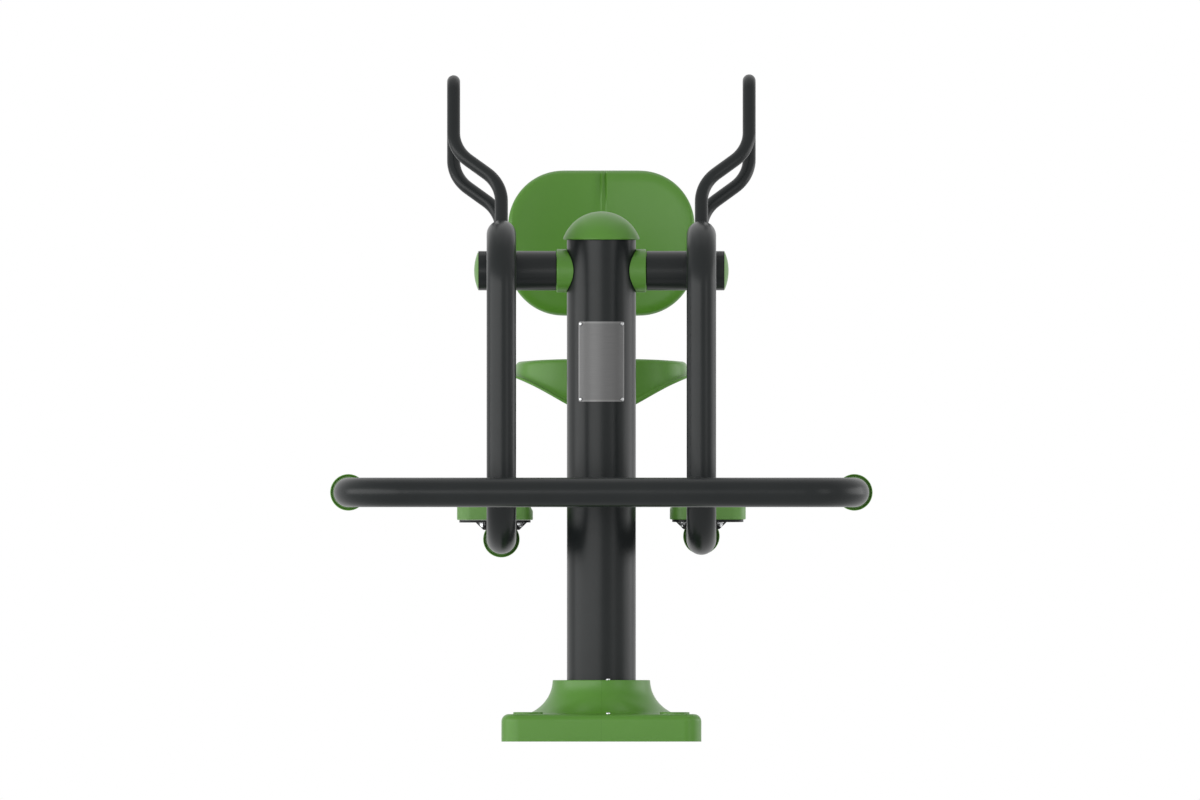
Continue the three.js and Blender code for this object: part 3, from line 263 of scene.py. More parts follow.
class Finish:
    """A material under construction, with short ways to add and join its nodes."""

    def __init__(self, name, roughness, metallic=0.0, specular=0.5):
        self.material = bpy.data.materials.new(name)
        self.material.use_nodes = True
        self.nodes = self.material.node_tree.nodes
        self.links = self.material.node_tree.links
        self.shader = self.nodes["Principled BSDF"]
        self.shader.inputs["Roughness"].default_value = roughness
        self.shader.inputs["Metallic"].default_value = metallic
        self.shader.inputs["Specular IOR Level"].default_value = specular
        self.place = self.nodes.new("ShaderNodeTexCoord").outputs["Object"]
        self.normal = None

    def stretched(self, scale):
        """Object coordinates stretched by a scale along each axis."""
        node = self.nodes.new("ShaderNodeMapping")
        node.inputs["Scale"].default_value = scale
        self.links.new(self.place, node.inputs["Vector"])
        return node.outputs["Vector"]

    def noise(self, scale, detail=2.0, place=None):
        node = self.nodes.new("ShaderNodeTexNoise")
        node.inputs["Scale"].default_value = scale
        node.inputs["Detail"].default_value = detail
        self.links.new(place or self.place, node.inputs["Vector"])
        return node.outputs["Fac"]

    def cells(self, scale):
        node = self.nodes.new("ShaderNodeTexVoronoi")
        node.inputs["Scale"].default_value = scale
        self.links.new(self.place, node.inputs["Vector"])
        return node.outputs["Distance"]

    def tinted(self, pattern, low, high, spread=0.25):
        """Base colour that runs between two colours by a pattern."""
        ramp = self.nodes.new("ShaderNodeValToRGB")
        ramp.color_ramp.elements[0].position = 0.5 - spread
        ramp.color_ramp.elements[0].color = (*low, 1)
        ramp.color_ramp.elements[1].position = 0.5 + spread
        ramp.color_ramp.elements[1].color = (*high, 1)
        self.links.new(pattern, ramp.inputs["Fac"])
        self.links.new(ramp.outputs["Color"], self.shader.inputs["Base Color"])

    def polished(self, pattern, low, high):
        """Roughness that runs between two levels by a pattern."""
        span = self.nodes.new("ShaderNodeMapRange")
        span.inputs["To Min"].default_value = low
        span.inputs["To Max"].default_value = high
        self.links.new(pattern, span.inputs["Value"])
        self.links.new(span.outputs["Result"], self.shader.inputs["Roughness"])

    def bumped(self, pattern, strength, height):
        """Adds a layer of relief of a height in metres."""
        bump = self.nodes.new("ShaderNodeBump")
        bump.inputs["Strength"].default_value = strength
        bump.inputs["Distance"].default_value = height
        self.links.new(pattern, bump.inputs["Height"])
        if self.normal is not None:
            self.links.new(self.normal, bump.inputs["Normal"])
        self.normal = bump.outputs["Normal"]
        self.links.new(self.normal, self.shader.inputs["Normal"])


def made_once(make):
    """Gives the material of a maker function, made on its first use only."""
    kept = {}

    def finish():
        if make not in kept:
            kept[make] = make()
        return kept[make]

    return finish


def coat(name, low, high, grain):
    finish = Finish(name, 0.4, specular=0.23)
    finish.tinted(finish.noise(9, 4), low, high)
    finish.polished(finish.noise(26, 3), 0.28, 0.33)
    finish.bumped(finish.noise(260, 1), grain * 0.5, 0.0002)
    finish.bumped(finish.noise(1100, 2), grain, 0.0001)
    return finish.material


@made_once
def anthracite_coat():
    tones = settings().finish
    return coat("anthracite_coat", tones.coat, tones.coat_light, tones.grain)


@made_once
def black_coat():
    tones = settings().finish
    light = [tone * 1.5 for tone in tones.black]
    return coat("black_coat", tones.black, light, tones.grain)


def green_moulding(name, painted_lift, specular, low, high):
    tones = settings().finish
    finish = Finish(name, 0.4, specular=specular)
    # A lift above 1 lightens both greens as painted light, over the moulding's own tone
    deep, light = ([tone * painted_lift for tone in green] for green in (tones.green_deep, tones.green))
    finish.tinted(finish.noise(7, 4), deep, light)
    finish.polished(finish.noise(18, 3), low, high)
    finish.bumped(finish.noise(90, 2), tones.grain * 0.4, 0.0002)
    finish.bumped(finish.cells(900), tones.grain * 0.8, 0.00008)
    return finish.material


@made_once
def green_plastic():
    return green_moulding("green_plastic", 1, 0.4, 0.3, 0.4)


# The pads' rubber green is lifted by a tenth as painted light, standing in for light the pads catch; its
# high specular level is the rubber's own sheen
@made_once
def green_rubber_painted_light():
    return green_moulding("green_rubber_painted_light", 1.1, 0.85, 0.42, 0.52)


@made_once
def black_plastic():
    finish = Finish("black_plastic", 0.6, specular=0.3)
    finish.tinted(finish.noise(60, 3), (0.012, 0.012, 0.012), (0.02, 0.02, 0.02))
    finish.bumped(finish.cells(900), settings().finish.grain, 0.0001)
    return finish.material


@made_once
def zinc_plate():
    tones = settings().finish
    finish = Finish("zinc_plate", 0.28, metallic=1.0)
    low = [tone * 0.86 for tone in tones.zinc]
    finish.tinted(finish.cells(420), low, tones.zinc)
    finish.polished(finish.noise(300, 3), 0.2, 0.36)
    finish.bumped(finish.noise(900, 2), 0.1, 0.00005)
    return finish.material


@made_once
def machined_steel():
    finish = Finish("machined_steel", 0.3, metallic=1.0)
    rings = finish.noise(1, 2, finish.stretched((2200, 60, 60)))
    finish.tinted(rings, (0.38, 0.385, 0.39), (0.52, 0.525, 0.53))
    finish.polished(rings, 0.22, 0.36)
    finish.bumped(rings, 0.15, 0.00003)
    return finish.material


@made_once
def stop_rubber():
    finish = Finish("stop_rubber", 0.8, specular=0.3)
    finish.tinted(finish.noise(120, 4), (0.012, 0.012, 0.012), (0.022, 0.022, 0.022))
    finish.bumped(finish.noise(500, 3), 0.3, 0.0002)
    return finish.material


@made_once
def nameplate_metal():
    tones = settings().finish
    finish = Finish("nameplate_metal", 0.45, metallic=0.55, specular=0.4)
    brushed = finish.noise(1, 3, finish.stretched((30, 30, 1900)))
    low = [tone * 0.82 for tone in tones.plate]
    finish.tinted(brushed, low, tones.plate)
    finish.polished(brushed, 0.4, 0.55)
    finish.bumped(brushed, 0.2, 0.00004)
    return finish.material


@made_once
def bright_border():
    tones = settings().finish
    finish = Finish("bright_border", 0.4, metallic=0.4, specular=0.4)
    brushed = finish.noise(1, 3, finish.stretched((30, 30, 1900)))
    light = [min(1.0, tone * 1.4) for tone in tones.plate]
    finish.tinted(brushed, [tone * 1.15 for tone in tones.plate], light)
    finish.polished(brushed, 0.35, 0.5)
    return finish.material


# The finish that each material slot of the record gets
FINISHES = {
    "anthracite_coat": anthracite_coat,
    "green_plastic": green_plastic,
    "black_coat": black_coat,
    "black_plastic": black_plastic,
    "zinc_plate": zinc_plate,
    "machined_steel": machined_steel,
    "stop_rubber": stop_rubber,
    "plate_aluminium": nameplate_metal,
}


# Shaping tools


def edges_of(verts):
    kept = set(verts)
    return list({edge for vert in verts for edge in vert.link_edges if kept.issuperset(edge.verts)})


def verts_in(items):
    return [item for item in items if isinstance(item, bmesh.types.BMVert)]


def everything(bm):
    return bm.verts[:] + bm.edges[:] + bm.faces[:]


def alignment(edge, axis):
    """1 for an edge along an axis, 0 for an edge across it."""
    return abs((edge.verts[0].co - edge.verts[1].co).normalized().dot(axis))


def box_in(bm, size):
    """Adds a box round the origin and returns its corners."""
    verts = bmesh.ops.create_cube(bm, size=1)["verts"]
    bmesh.ops.scale(bm, vec=size, verts=verts)
    return verts


def rounded(bm, items, radius, segments, affect="EDGES", clamp=False):
    """Rounds edges, or the corners of a sheet, to a radius."""
    return bmesh.ops.bevel(
        bm, geom=items, offset=radius, segments=segments, profile=0.5, affect=affect, material=-1,
        clamp_overlap=clamp,
    )


def rounded_along(bm, axis, radius, segments, clamp=False):
    """Rounds the edges that run along an axis."""
    rounded(bm, [edge for edge in bm.edges if alignment(edge, axis) > 0.9], radius, segments, clamp=clamp)


def aimed(place, heading):
    """A frame at a place whose Z runs along a heading."""
    return Matrix.Translation(place) @ heading.to_track_quat("Z", "Y").to_matrix().to_4x4()


def drawn_out(bm, verts, path):
    """Extrudes a ring of edges along a straight path and returns the new ring."""
    if path.length < TINY:
        return verts
    ahead = verts_in(bmesh.ops.extrude_edge_only(bm, edges=edges_of(verts))["geom"])
    bmesh.ops.translate(bm, verts=ahead, vec=path)
    return ahead


def swung(bm, verts, centre, axis, angle):
    """Spins a ring of edges round a bend and returns the new ring."""
    made = bmesh.ops.spin(
        bm, geom=verts + edges_of(verts), cent=centre, axis=axis, dvec=(0, 0, 0), angle=angle,
        steps=max(3, math.ceil(angle / BEND_STEP)),
    )
    return verts_in(made["geom_last"])


def bent_tube(name, corners, bends, radius, sides=TUBE_SIDES):
    """Leads a circle along straight runs and round bends, and closes both ends."""
    bm = bmesh.new()
    heading = (corners[1] - corners[0]).normalized()
    place = corners[0].copy()
    ring = bmesh.ops.create_circle(
        bm, cap_ends=False, segments=sides, radius=radius, matrix=aimed(place, heading)
    )["verts"]
    first = edges_of(ring)
    for index, bend in enumerate(bends, start=1):
        after = (corners[index + 1] - corners[index]).normalized()
        angle = heading.angle(after)
        reach = bend * math.tan(angle / 2)
        bend_start = corners[index] - heading * reach
        ring = drawn_out(bm, ring, bend_start - place)
        axis = heading.cross(after).normalized()
        ring = swung(bm, ring, bend_start + axis.cross(heading) * bend, axis, angle)
        place = corners[index] + after * reach
        heading = after
    ring = drawn_out(bm, ring, corners[-1] - place)
    for rim in (first, edges_of(ring)):
        bmesh.ops.edgeloop_fill(bm, edges=rim)
    return mesh_object(name, bm)


def turned(bm, profile, axis, centre, sides):
    """Spins a profile of (place along the axis, radius) about an axis through a centre."""
    outward = axis.orthogonal().normalized()
    verts = [bm.verts.new(centre + axis * along + outward * radius) for along, radius in profile]
    edges = [bm.edges.new(pair) for pair in zip(verts, verts[1:])]
    bmesh.ops.spin(
        bm, geom=verts + edges, cent=centre, axis=axis, dvec=(0, 0, 0), angle=math.tau, steps=sides,
        use_merge=True,
    )
    bmesh.ops.remove_doubles(bm, verts=bm.verts[:], dist=MERGE_DISTANCE)


def turned_piece(name, profile, axis, centre, sides):
    bm = bmesh.new()
    turned(bm, profile, axis, centre, sides)
    return mesh_object(name, bm)


def arc(centre, radius, start, end, steps):
    """Points (along, radius) on an arc of a profile, with angles from the axis."""
    turns = [start + (end - start) * step / steps for step in range(steps + 1)]
    return [(centre[0] + radius * math.cos(angle), centre[1] + radius * math.sin(angle)) for angle in turns]


def disc_profile(bottom, top, radius, round_off):
    """Profile of a flat disc with rounded edges."""
    low = arc((bottom + round_off, radius - round_off), round_off, math.pi, math.pi / 2, 4)
    high = arc((top - round_off, radius - round_off), round_off, math.pi / 2, 0, 4)
    return [(bottom, 0), *low, *high, (top, 0)]


def rounded_block(bm, size, centre, axis, corner, rim):
    """A slab whose edges along an axis get a corner radius, and whose other edges get a rim radius."""
    box_in(bm, size)
    rounded_along(bm, axis, corner, 12, clamp=True)
    half = abs(size.dot(axis)) / 2
    ends = [
        edge for edge in bm.edges if all(abs(abs(vert.co.dot(axis)) - half) < TINY for vert in edge.verts)
    ]
    rounded(bm, ends, rim, 5, clamp=True)
    bmesh.ops.translate(bm, verts=bm.verts[:], vec=centre)


def block_piece(name, size, centre, axis, corner, rim):
    bm = bmesh.new()
    rounded_block(bm, size, centre, axis, corner, rim)
    return mesh_object(name, bm)


def flat_rib(name, corners, thickness, edge_round):
    """A rib from its outline and the way in which it is thick, with rounded edges."""
    bm = bmesh.new()
    face = bm.faces.new([bm.verts.new(corner) for corner in corners])
    grown = bmesh.ops.extrude_face_region(bm, geom=[face])["geom"]
    bmesh.ops.translate(bm, verts=verts_in(grown), vec=thickness)
    bmesh.ops.recalc_face_normals(bm, faces=bm.faces[:])
    rounded(bm, bm.edges[:], edge_round, 2)
    return mesh_object(name, bm)


def sliced(bm, places, normal):
    """Cuts every face along planes across a direction, so that it can bend."""
    for place in places:
        bmesh.ops.bisect_plane(
            bm, geom=everything(bm), plane_co=normal * place, plane_no=normal, dist=MERGE_DISTANCE
        )


def evenly(low, high, count):
    return [low + (high - low) * index / count for index in range(1, count)]


def smooth_step(low, high, value):
    part = min(1.0, max(0.0, (value - low) / (high - low)))
    return part * part * (3 - 2 * part)


def new_object(name, data):
    made = bpy.data.objects.new(name, data)
    bpy.context.scene.collection.objects.link(made)
    return made


def sheet_object(name, bm):
    """Puts a mesh in a new object as it is."""
    mesh = bpy.data.meshes.new(name)
    bm.to_mesh(mesh)
    bm.free()
    return new_object(name, mesh)


def mesh_object(name, bm):
    """Merges doubles, turns the faces outward and puts the mesh in a new object."""
    bmesh.ops.remove_doubles(bm, verts=bm.verts[:], dist=MERGE_DISTANCE)
    bmesh.ops.recalc_face_normals(bm, faces=bm.faces[:])
    return sheet_object(name, bm)


def evaluated_mesh(piece):
    bpy.context.view_layer.update()
    graph = bpy.context.evaluated_depsgraph_get()
    return bpy.data.meshes.new_from_object(piece.evaluated_get(graph))


def applied(piece):
    """Makes a piece's modifiers part of its mesh."""
    shape = evaluated_mesh(piece)
    piece.modifiers.clear()
    piece.data = shape
    return piece


def thickened(sheet, thickness, even=False):
    """Gives a sheet its wall, inward from its faces."""
    wall = sheet.modifiers.new("wall", "SOLIDIFY")
    wall.thickness = thickness
    wall.offset = -1
    wall.use_even_offset = even
    return applied(sheet)


def crossed(piece, tool, operation):
    step = piece.modifiers.new(operation, "BOOLEAN")
    step.operation = operation
    step.solver = "EXACT"
    step.object = tool
    return step


def carved(piece, tools, operation):
    """Joins or cuts a piece with tool objects, which are then removed."""
    for tool in tools:
        crossed(piece, tool, operation)
    applied(piece)
    for tool in tools:
        bpy.data.objects.remove(tool)
    return piece


def finished(piece, body, slot, nodes=(), finish=None, sharp=32, placed=None, mirrored=False):
    """Places a piece, marks its sharp edges, gives it its finish and hangs it on its body."""
    bm = bmesh.new()
    bm.from_mesh(piece.data)
    if placed is not None:
        bmesh.ops.transform(bm, matrix=placed, verts=bm.verts[:])
    if mirrored:
        bmesh.ops.scale(bm, vec=(-1, 1, 1), verts=bm.verts[:])
        bmesh.ops.reverse_faces(bm, faces=bm.faces[:])
    for face in bm.faces:
        face.smooth = True
        face.material_index = 0
    for edge in bm.edges:
        edge.smooth = edge.calc_face_angle(0) < math.radians(sharp)
    bm.to_mesh(piece.data)
    bm.free()
    piece.data.materials.clear()
    piece.data.materials.append((finish or FINISHES[slot])())
    piece.modifiers.new("even_shading", "WEIGHTED_NORMAL").keep_sharp = True
    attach(piece, body)
    if nodes:
        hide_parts(*nodes)
    return piece


def seam_edges(first, second):
    """A joined mesh of two objects, and its edges where their surfaces meet."""
    copies = []
    for item, name in ((first, "probe_side"), (second, "tool_side")):
        copy = new_object(name, item.data.copy())
        copy.data.materials.clear()
        copy.data.materials.append(bpy.data.materials.new(name))
        copies.append(copy)
    probe, tool = copies
    crossed(probe, tool, "UNION").material_mode = "TRANSFER"
    bm = bmesh.new()
    bm.from_mesh(evaluated_mesh(probe))
    for copy in copies:
        bpy.data.objects.remove(copy)
    return bm, {
        edge for edge in bm.edges
        if len(edge.link_faces) == 2 and len({face.material_index for face in edge.link_faces}) == 2
    }


def seam_loops(first, second):
    """The closed lines where the surfaces of two objects meet."""
    bm, waiting = seam_edges(first, second)
    loops = []
    while waiting:
        edge = waiting.pop()
        line = [edge.verts[0], edge.verts[1]]
        following = True
        while following:
            following = next((link for link in line[-1].link_edges if link in waiting), None)
            if following:
                waiting.discard(following)
                line.append(following.other_vert(line[-1]))
        loops.append([vert.co.copy() for vert in line])
    bm.free()
    return loops


def evened(points, pitch):
    """Points at an even pitch along a closed line, softened a little."""
    closed = [*points, points[0]] if (points[0] - points[-1]).length > MERGE_DISTANCE else points
    spans = [(b - a).length for a, b in zip(closed, closed[1:])]
    count = max(8, round(sum(spans) / pitch))
    step = sum(spans) / count
    places, index, passed = [], 0, 0.0
    for number in range(count):
        wanted = number * step
        while passed + spans[index] < wanted:
            passed += spans[index]
            index += 1
        part = (wanted - passed) / max(spans[index], 1e-9)
        places.append(closed[index].lerp(closed[index + 1], part))
    for _ in range(3):
        places = [
            (places[number - 1] + places[number] * 2 + places[(number + 1) % count]) / 4
            for number in range(count)
        ]
    return places


def weld_bead(name, first, second, body, radius=0.0026, keep=None):
    """A rippled weld bead along the lines where two pieces meet."""
    pitch, fewest, ripple = 0.0028, 12, 0.14
    curve = bpy.data.curves.new(name, "CURVE")
    curve.dimensions = "3D"
    curve.bevel_depth = radius
    curve.bevel_resolution = 2
    for loop in seam_loops(first, second):
        places = evened(loop, pitch)
        if len(places) < fewest or (keep and not keep(places)):
            continue
        line = curve.splines.new("POLY")
        line.points.add(len(places) - 1)
        line.use_cyclic_u = True
        for number, (point, place) in enumerate(zip(line.points, places)):
            point.co = (*place, 1)
            point.radius = 1.0 + ripple * math.cos(number * math.pi)
    drawn = new_object(name + "_line", curve)
    bead = new_object(name, evaluated_mesh(drawn))
    bpy.data.objects.remove(drawn)
    finished(bead, body, "anthracite_coat", sharp=60)


def on_side(side):
    """How a right-hand shape is placed on a side: the arm's small turn, or the mirror."""
    if side == "left":
        return {"placed": None, "mirrored": True}
    sizes = settings()
    pivot = Matrix.Translation((0, 0, sizes.axle.height))
    swing = Matrix.Rotation(sizes.arm.rest_turn, 4, "X")
    return {"placed": pivot @ swing @ pivot.inverted(), "mirrored": False}


def end_cap(name, place):
    """A round end cap with a plug and a groove, on a thick tube that ends at a place facing the seat."""
    tube, guard = settings().arm.radius, settings().guard
    radius, thick = guard.cap_radius, guard.cap_thickness
    wall, play, edge, plug_depth, dip = 0.003, 0.0006, 0.001, 0.0197, 0.0006
    groove_depth, rear_round, front_round = 0.005, 0.0015, 0.003
    plug = tube - wall - play
    face = thick + WELD_GAP
    profile = [(-plug_depth, 0), (-plug_depth, plug - edge), (edge - plug_depth, plug), (WELD_GAP, plug)]
    profile += [(WELD_GAP, tube - 0.0012), (groove_depth, tube - 0.0008)]
    profile += [(groove_depth + WELD_GAP, tube + 0.0028), (rear_round, radius - 0.0032)]
    profile += arc((rear_round + WELD_GAP, radius - rear_round), rear_round, math.pi, math.pi / 2, 4)
    profile += arc((face - front_round, radius - front_round), front_round, math.pi / 2, 0, 6)
    profile += [(face, radius * 0.55), (face - dip, radius * 0.5), (face - dip, 0)]
    return turned_piece(name, profile, Y_AXIS, place, HUB_SIDES)


def hex_nut(bm, place, outward, radius, height, stud):
    """A washer, a chamfered hexagon nut and the end of its stud, standing out from a face."""
    washer, washer_share, washer_round = 0.0012, 1.25, 0.0003
    chamfer, foot, past_nut = 0.0006, 0.001, 0.0022
    part = bmesh.new()
    disc = disc_profile(0, washer, radius * washer_share, washer_round)
    turned(part, disc, outward, place, SMALL_SIDES)
    tip = height + past_nut
    end = [(tip, stud), (tip + chamfer, stud - chamfer), (tip + chamfer, 0)]
    turned(part, [(foot, 0), (foot, stud), *end], outward, place, STUD_SIDES)
    nut = bmesh.ops.create_cone(
        part, cap_ends=True, segments=6, radius1=radius, radius2=radius, depth=height - washer,
        matrix=aimed(place + outward * (height / 2 + washer / 2), outward),
    )
    rims = [edge for edge in edges_of(nut["verts"]) if alignment(edge, outward) < 0.1]
    rounded(part, rims, chamfer, 2)
    mesh = bpy.data.meshes.new("nut")
    part.to_mesh(mesh)
    part.free()
    bm.from_mesh(mesh)
    bpy.data.meshes.remove(mesh)


# Pieces


class AIRWALKER_OT_post(Operator):
    """Build the post tube and its dome cap"""

    bl_idname = "air_walker.post"
    bl_label = "Post and Cap"

    def execute(self, context):
        post = settings().post
        edge, skin, plug_depth, rim_height = 0.001, 0.004, 0.025, 0.003
        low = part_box("post_tube")[0].z
        bore = post.radius - post.wall
        profile = [(low, bore), (low, post.radius), (post.top - edge, post.radius)]
        profile += [(post.top, post.radius - edge), (post.top, bore), (low, bore)]
        shell = turned_piece("post_shell", profile, Z_AXIS, Vector(), POST_SIDES)
        finished(shell, "frame", "anthracite_coat", ["post_tube"])

        rim = post.cap_radius
        rise = post.cap_height - rim_height
        dome = (rim * rim + rise * rise) / (2 * rise)
        foot = post.top + WELD_GAP
        top = foot + post.cap_height
        skirt = bore - WELD_GAP
        half_turn = math.asin(rim / dome)
        profile = [(top - skin, 0)]
        profile += arc((top - dome, 0), dome - skin, 0.1, half_turn * 0.8, 8)
        profile += [(foot - plug_depth, skirt - 0.003), (foot - plug_depth, skirt - edge / 2)]
        profile += [(foot - plug_depth + edge / 2, skirt), (foot, skirt)]
        profile += [(foot, rim - edge), (foot + edge, rim)]
        profile += arc((top - dome, 0), dome, half_turn, 0, 24)
        cap = turned_piece("dome_cap", profile, Z_AXIS, Vector(), POST_SIDES)
        finished(cap, "frame", "green_plastic", ["post_cap"])
        return {"FINISHED"}


class AIRWALKER_OT_base_cover(Operator):
    """Build the two halves of the moulded base cover and their screws"""

    bl_idname = "air_walker.base_cover"
    bl_label = "Base Cover"

    def slab(self, name, side, height, corner, top_round):
        bm = bmesh.new()
        bmesh.ops.translate(bm, vec=(0, 0, height / 2), verts=box_in(bm, (side, side, height)))
        rounded_along(bm, Z_AXIS, corner, 10)
        upper = [edge for edge in bm.edges if min(vert.co.z for vert in edge.verts) > height - TINY]
        rounded(bm, upper, top_round, 8)
        return mesh_object(name, bm)

    def flare_profile(self, inset):
        """Profile of the neck and of the curve in which it runs out over the slab."""
        cover = settings().cover
        foot, overlap, rim_round, steps = 0.003, 0.002, 0.0015, 18
        top = cover.neck_height - inset
        neck = cover.neck_radius - inset
        lowest = math.asin(min(1.0, (cover.neck_height - cover.height + overlap) / cover.flare_depth))
        flare = []
        for step in range(steps + 1):
            angle = lowest * (1 - step / steps)
            radius = neck + cover.flare_width * (1 - math.cos(angle))
            flare.append((top - cover.flare_depth * math.sin(angle), radius))
        flare[-1] = (top - rim_round, neck)
        rim = arc((top - rim_round, neck - rim_round), rim_round, 1.3, 0, 4)
        return [(foot, 0), (foot, flare[0][1]), *flare, *rim, (top, 0)]

    def shape(self, name, inset):
        """The cover's outside, or its hollow where an inset is given."""
        cover = settings().cover
        height = cover.height - inset
        slab = self.slab(name, cover.side - inset * 2, height, cover.corner - inset, cover.top_round)
        flare = self.flare_profile(inset)
        parts = [turned_piece(name + "_flare", flare, Z_AXIS, Vector(), POST_SIDES)]
        boss = disc_profile(0.01, height + 0.004, cover.boss_radius - inset, 0.0015)
        for x in (-1, 1):
            for y in (-1, 1):
                place = Vector((x * cover.boss_place, y * cover.boss_place, 0))
                parts.append(turned_piece(f"{name}_boss_{x}_{y}", boss, Z_AXIS, place, TUBE_SIDES))
        return carved(slab, parts, "UNION")

    def screw(self, node):
        """A pan head screw where a CAD screw is."""
        low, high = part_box(node)
        middle = (low + high) / 2
        tip, neck, head_height, head_radius, head_round = 0.0018, 0.0022, 0.003, 0.0045, 0.0022
        head = high.z - head_height
        profile = [(low.z, 0), (low.z, tip), (head, neck), (head, head_radius)]
        profile.append((head + 0.001, head_radius))
        profile += arc((head + 0.0008, head_radius - head_round), head_round, 1.4, 0.1, 5)
        profile += [(high.z, 0.0016), (high.z - 0.0018, 0.0015), (high.z - 0.002, 0)]
        place = Vector((middle.x, middle.y, 0))
        screw = turned_piece(node.replace("cover", "pan_head"), profile, Z_AXIS, place, SMALL_SIDES)
        finished(screw, "frame", "zinc_plate", [node])

    def execute(self, context):
        sizes = settings()
        play, half_seam, lowered = 0.0006, 0.00006, 0.002
        whole = self.shape("cover_whole", 0)
        hollow = self.shape("cover_hollow", sizes.cover.wall)
        hollow.data.transform(Matrix.Translation((0, 0, -lowered)))
        radius = sizes.post.radius + play
        profile = [(-0.1, 0), (-0.1, radius), (0.2, radius), (0.2, 0)]
        hole = turned_piece("cover_hole", profile, Z_AXIS, Vector(), POST_SIDES)
        carved(whole, [hollow, hole], "DIFFERENCE")
        for side, sign in SIDES:
            bm = bmesh.new()
            bm.from_mesh(whole.data)
            cut = bmesh.ops.bisect_plane(
                bm, geom=everything(bm), dist=MERGE_DISTANCE, plane_co=(sign * half_seam, 0, 0),
                plane_no=(-sign, 0, 0), clear_outer=True,
            )
            rim = [item for item in cut["geom_cut"] if isinstance(item, bmesh.types.BMEdge)]
            bmesh.ops.holes_fill(bm, edges=rim, sides=0)
            half = mesh_object(f"cover_half_{side}", bm)
            finished(half, "frame", "green_plastic", [f"base_cover_{side}"], sharp=28)
        bpy.data.objects.remove(whole)
        for node in ("cover_neck_screw", "cover_slab_screw"):
            self.screw(node)
        return {"FINISHED"}


class AIRWALKER_OT_nameplate(Operator):
    """Build the bare nameplate, bent round the post, and its four rivets"""

    bl_idname = "air_walker.nameplate"
    bl_label = "Nameplate"

    def sheet(self, name, inset, border, painted_lift, thickness):
        """A sheet bent round the post, as a frame of a border's width where one is given."""
        post = settings().post
        corner, columns = 0.004, 28
        width, height = post.plate_width - inset * 2, post.plate_height - inset * 2
        bm = bmesh.new()
        grid = bmesh.ops.create_grid(bm, x_segments=1, y_segments=1, size=0.5)
        bmesh.ops.scale(bm, vec=(width, height, 1), verts=grid["verts"])
        rounded(bm, bm.verts[:], corner - inset, 5, affect="VERTICES")
        if border > 0:
            inner = bm.faces[:]
            bmesh.ops.inset_region(
                bm, faces=inner, thickness=border, use_boundary=True, use_even_offset=True
            )
            bmesh.ops.delete(bm, geom=inner, context="FACES")
        sliced(bm, evenly(-width / 2, width / 2, columns), X_AXIS)
        face_radius = post.radius + WELD_GAP + painted_lift + thickness
        middle = post.plate_bottom + post.plate_height / 2
        for vert in bm.verts:
            angle = vert.co.x / (post.radius + WELD_GAP + post.plate_thickness)
            x, y = face_radius * math.sin(angle), -face_radius * math.cos(angle)
            vert.co = Vector((x, y, middle + vert.co.y))
        for face in bm.faces:
            face.normal_update()
        level = Vector((1, 1, 0))
        inward = [face for face in bm.faces if face.normal.dot(face.calc_center_median() * level) < 0]
        bmesh.ops.reverse_faces(bm, faces=inward)
        return thickened(sheet_object(name, bm), thickness)

    def rivet(self, number):
        post = settings().post
        node = f"nameplate_rivet_{number}"
        low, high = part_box(node)
        middle = (low + high) / 2
        outward = Vector((middle.x, middle.y, 0)).normalized()
        gap, depth, shank = 0.0004, 0.007, 0.0015
        rim, edge, dome, dome_foot = 0.0038, 0.0002, 0.0018, 0.0003
        foot = post.radius + gap + post.plate_thickness
        profile = [(foot - depth, 0), (foot - depth, shank), (foot, shank)]
        profile += [(foot, rim - edge), (foot + edge * 2, rim)]
        profile += arc((foot + dome_foot, rim - dome), dome, 1.45, 0.0, 5)
        profile.append((foot + dome_foot + dome, 0))
        rivet = turned_piece(f"rivet_{number}", profile, outward, Vector((0, 0, middle.z)), STUD_SIDES)
        finished(rivet, "frame", "zinc_plate", [node], machined_steel)

    def execute(self, context):
        thickness = settings().post.plate_thickness
        inset, width, proud, sunk = 0.0006, 0.0034, 0.0003, 0.0001
        plate = self.sheet("bare_nameplate", 0, 0, 0, thickness)
        finished(plate, "frame", "plate_aluminium", ["nameplate"])
        border = self.sheet("nameplate_border", inset, width, thickness - sunk, proud)
        finished(border, "frame", "plate_aluminium", finish=bright_border)
        for number in range(1, 5):
            self.rivet(number)
        return {"FINISHED"}


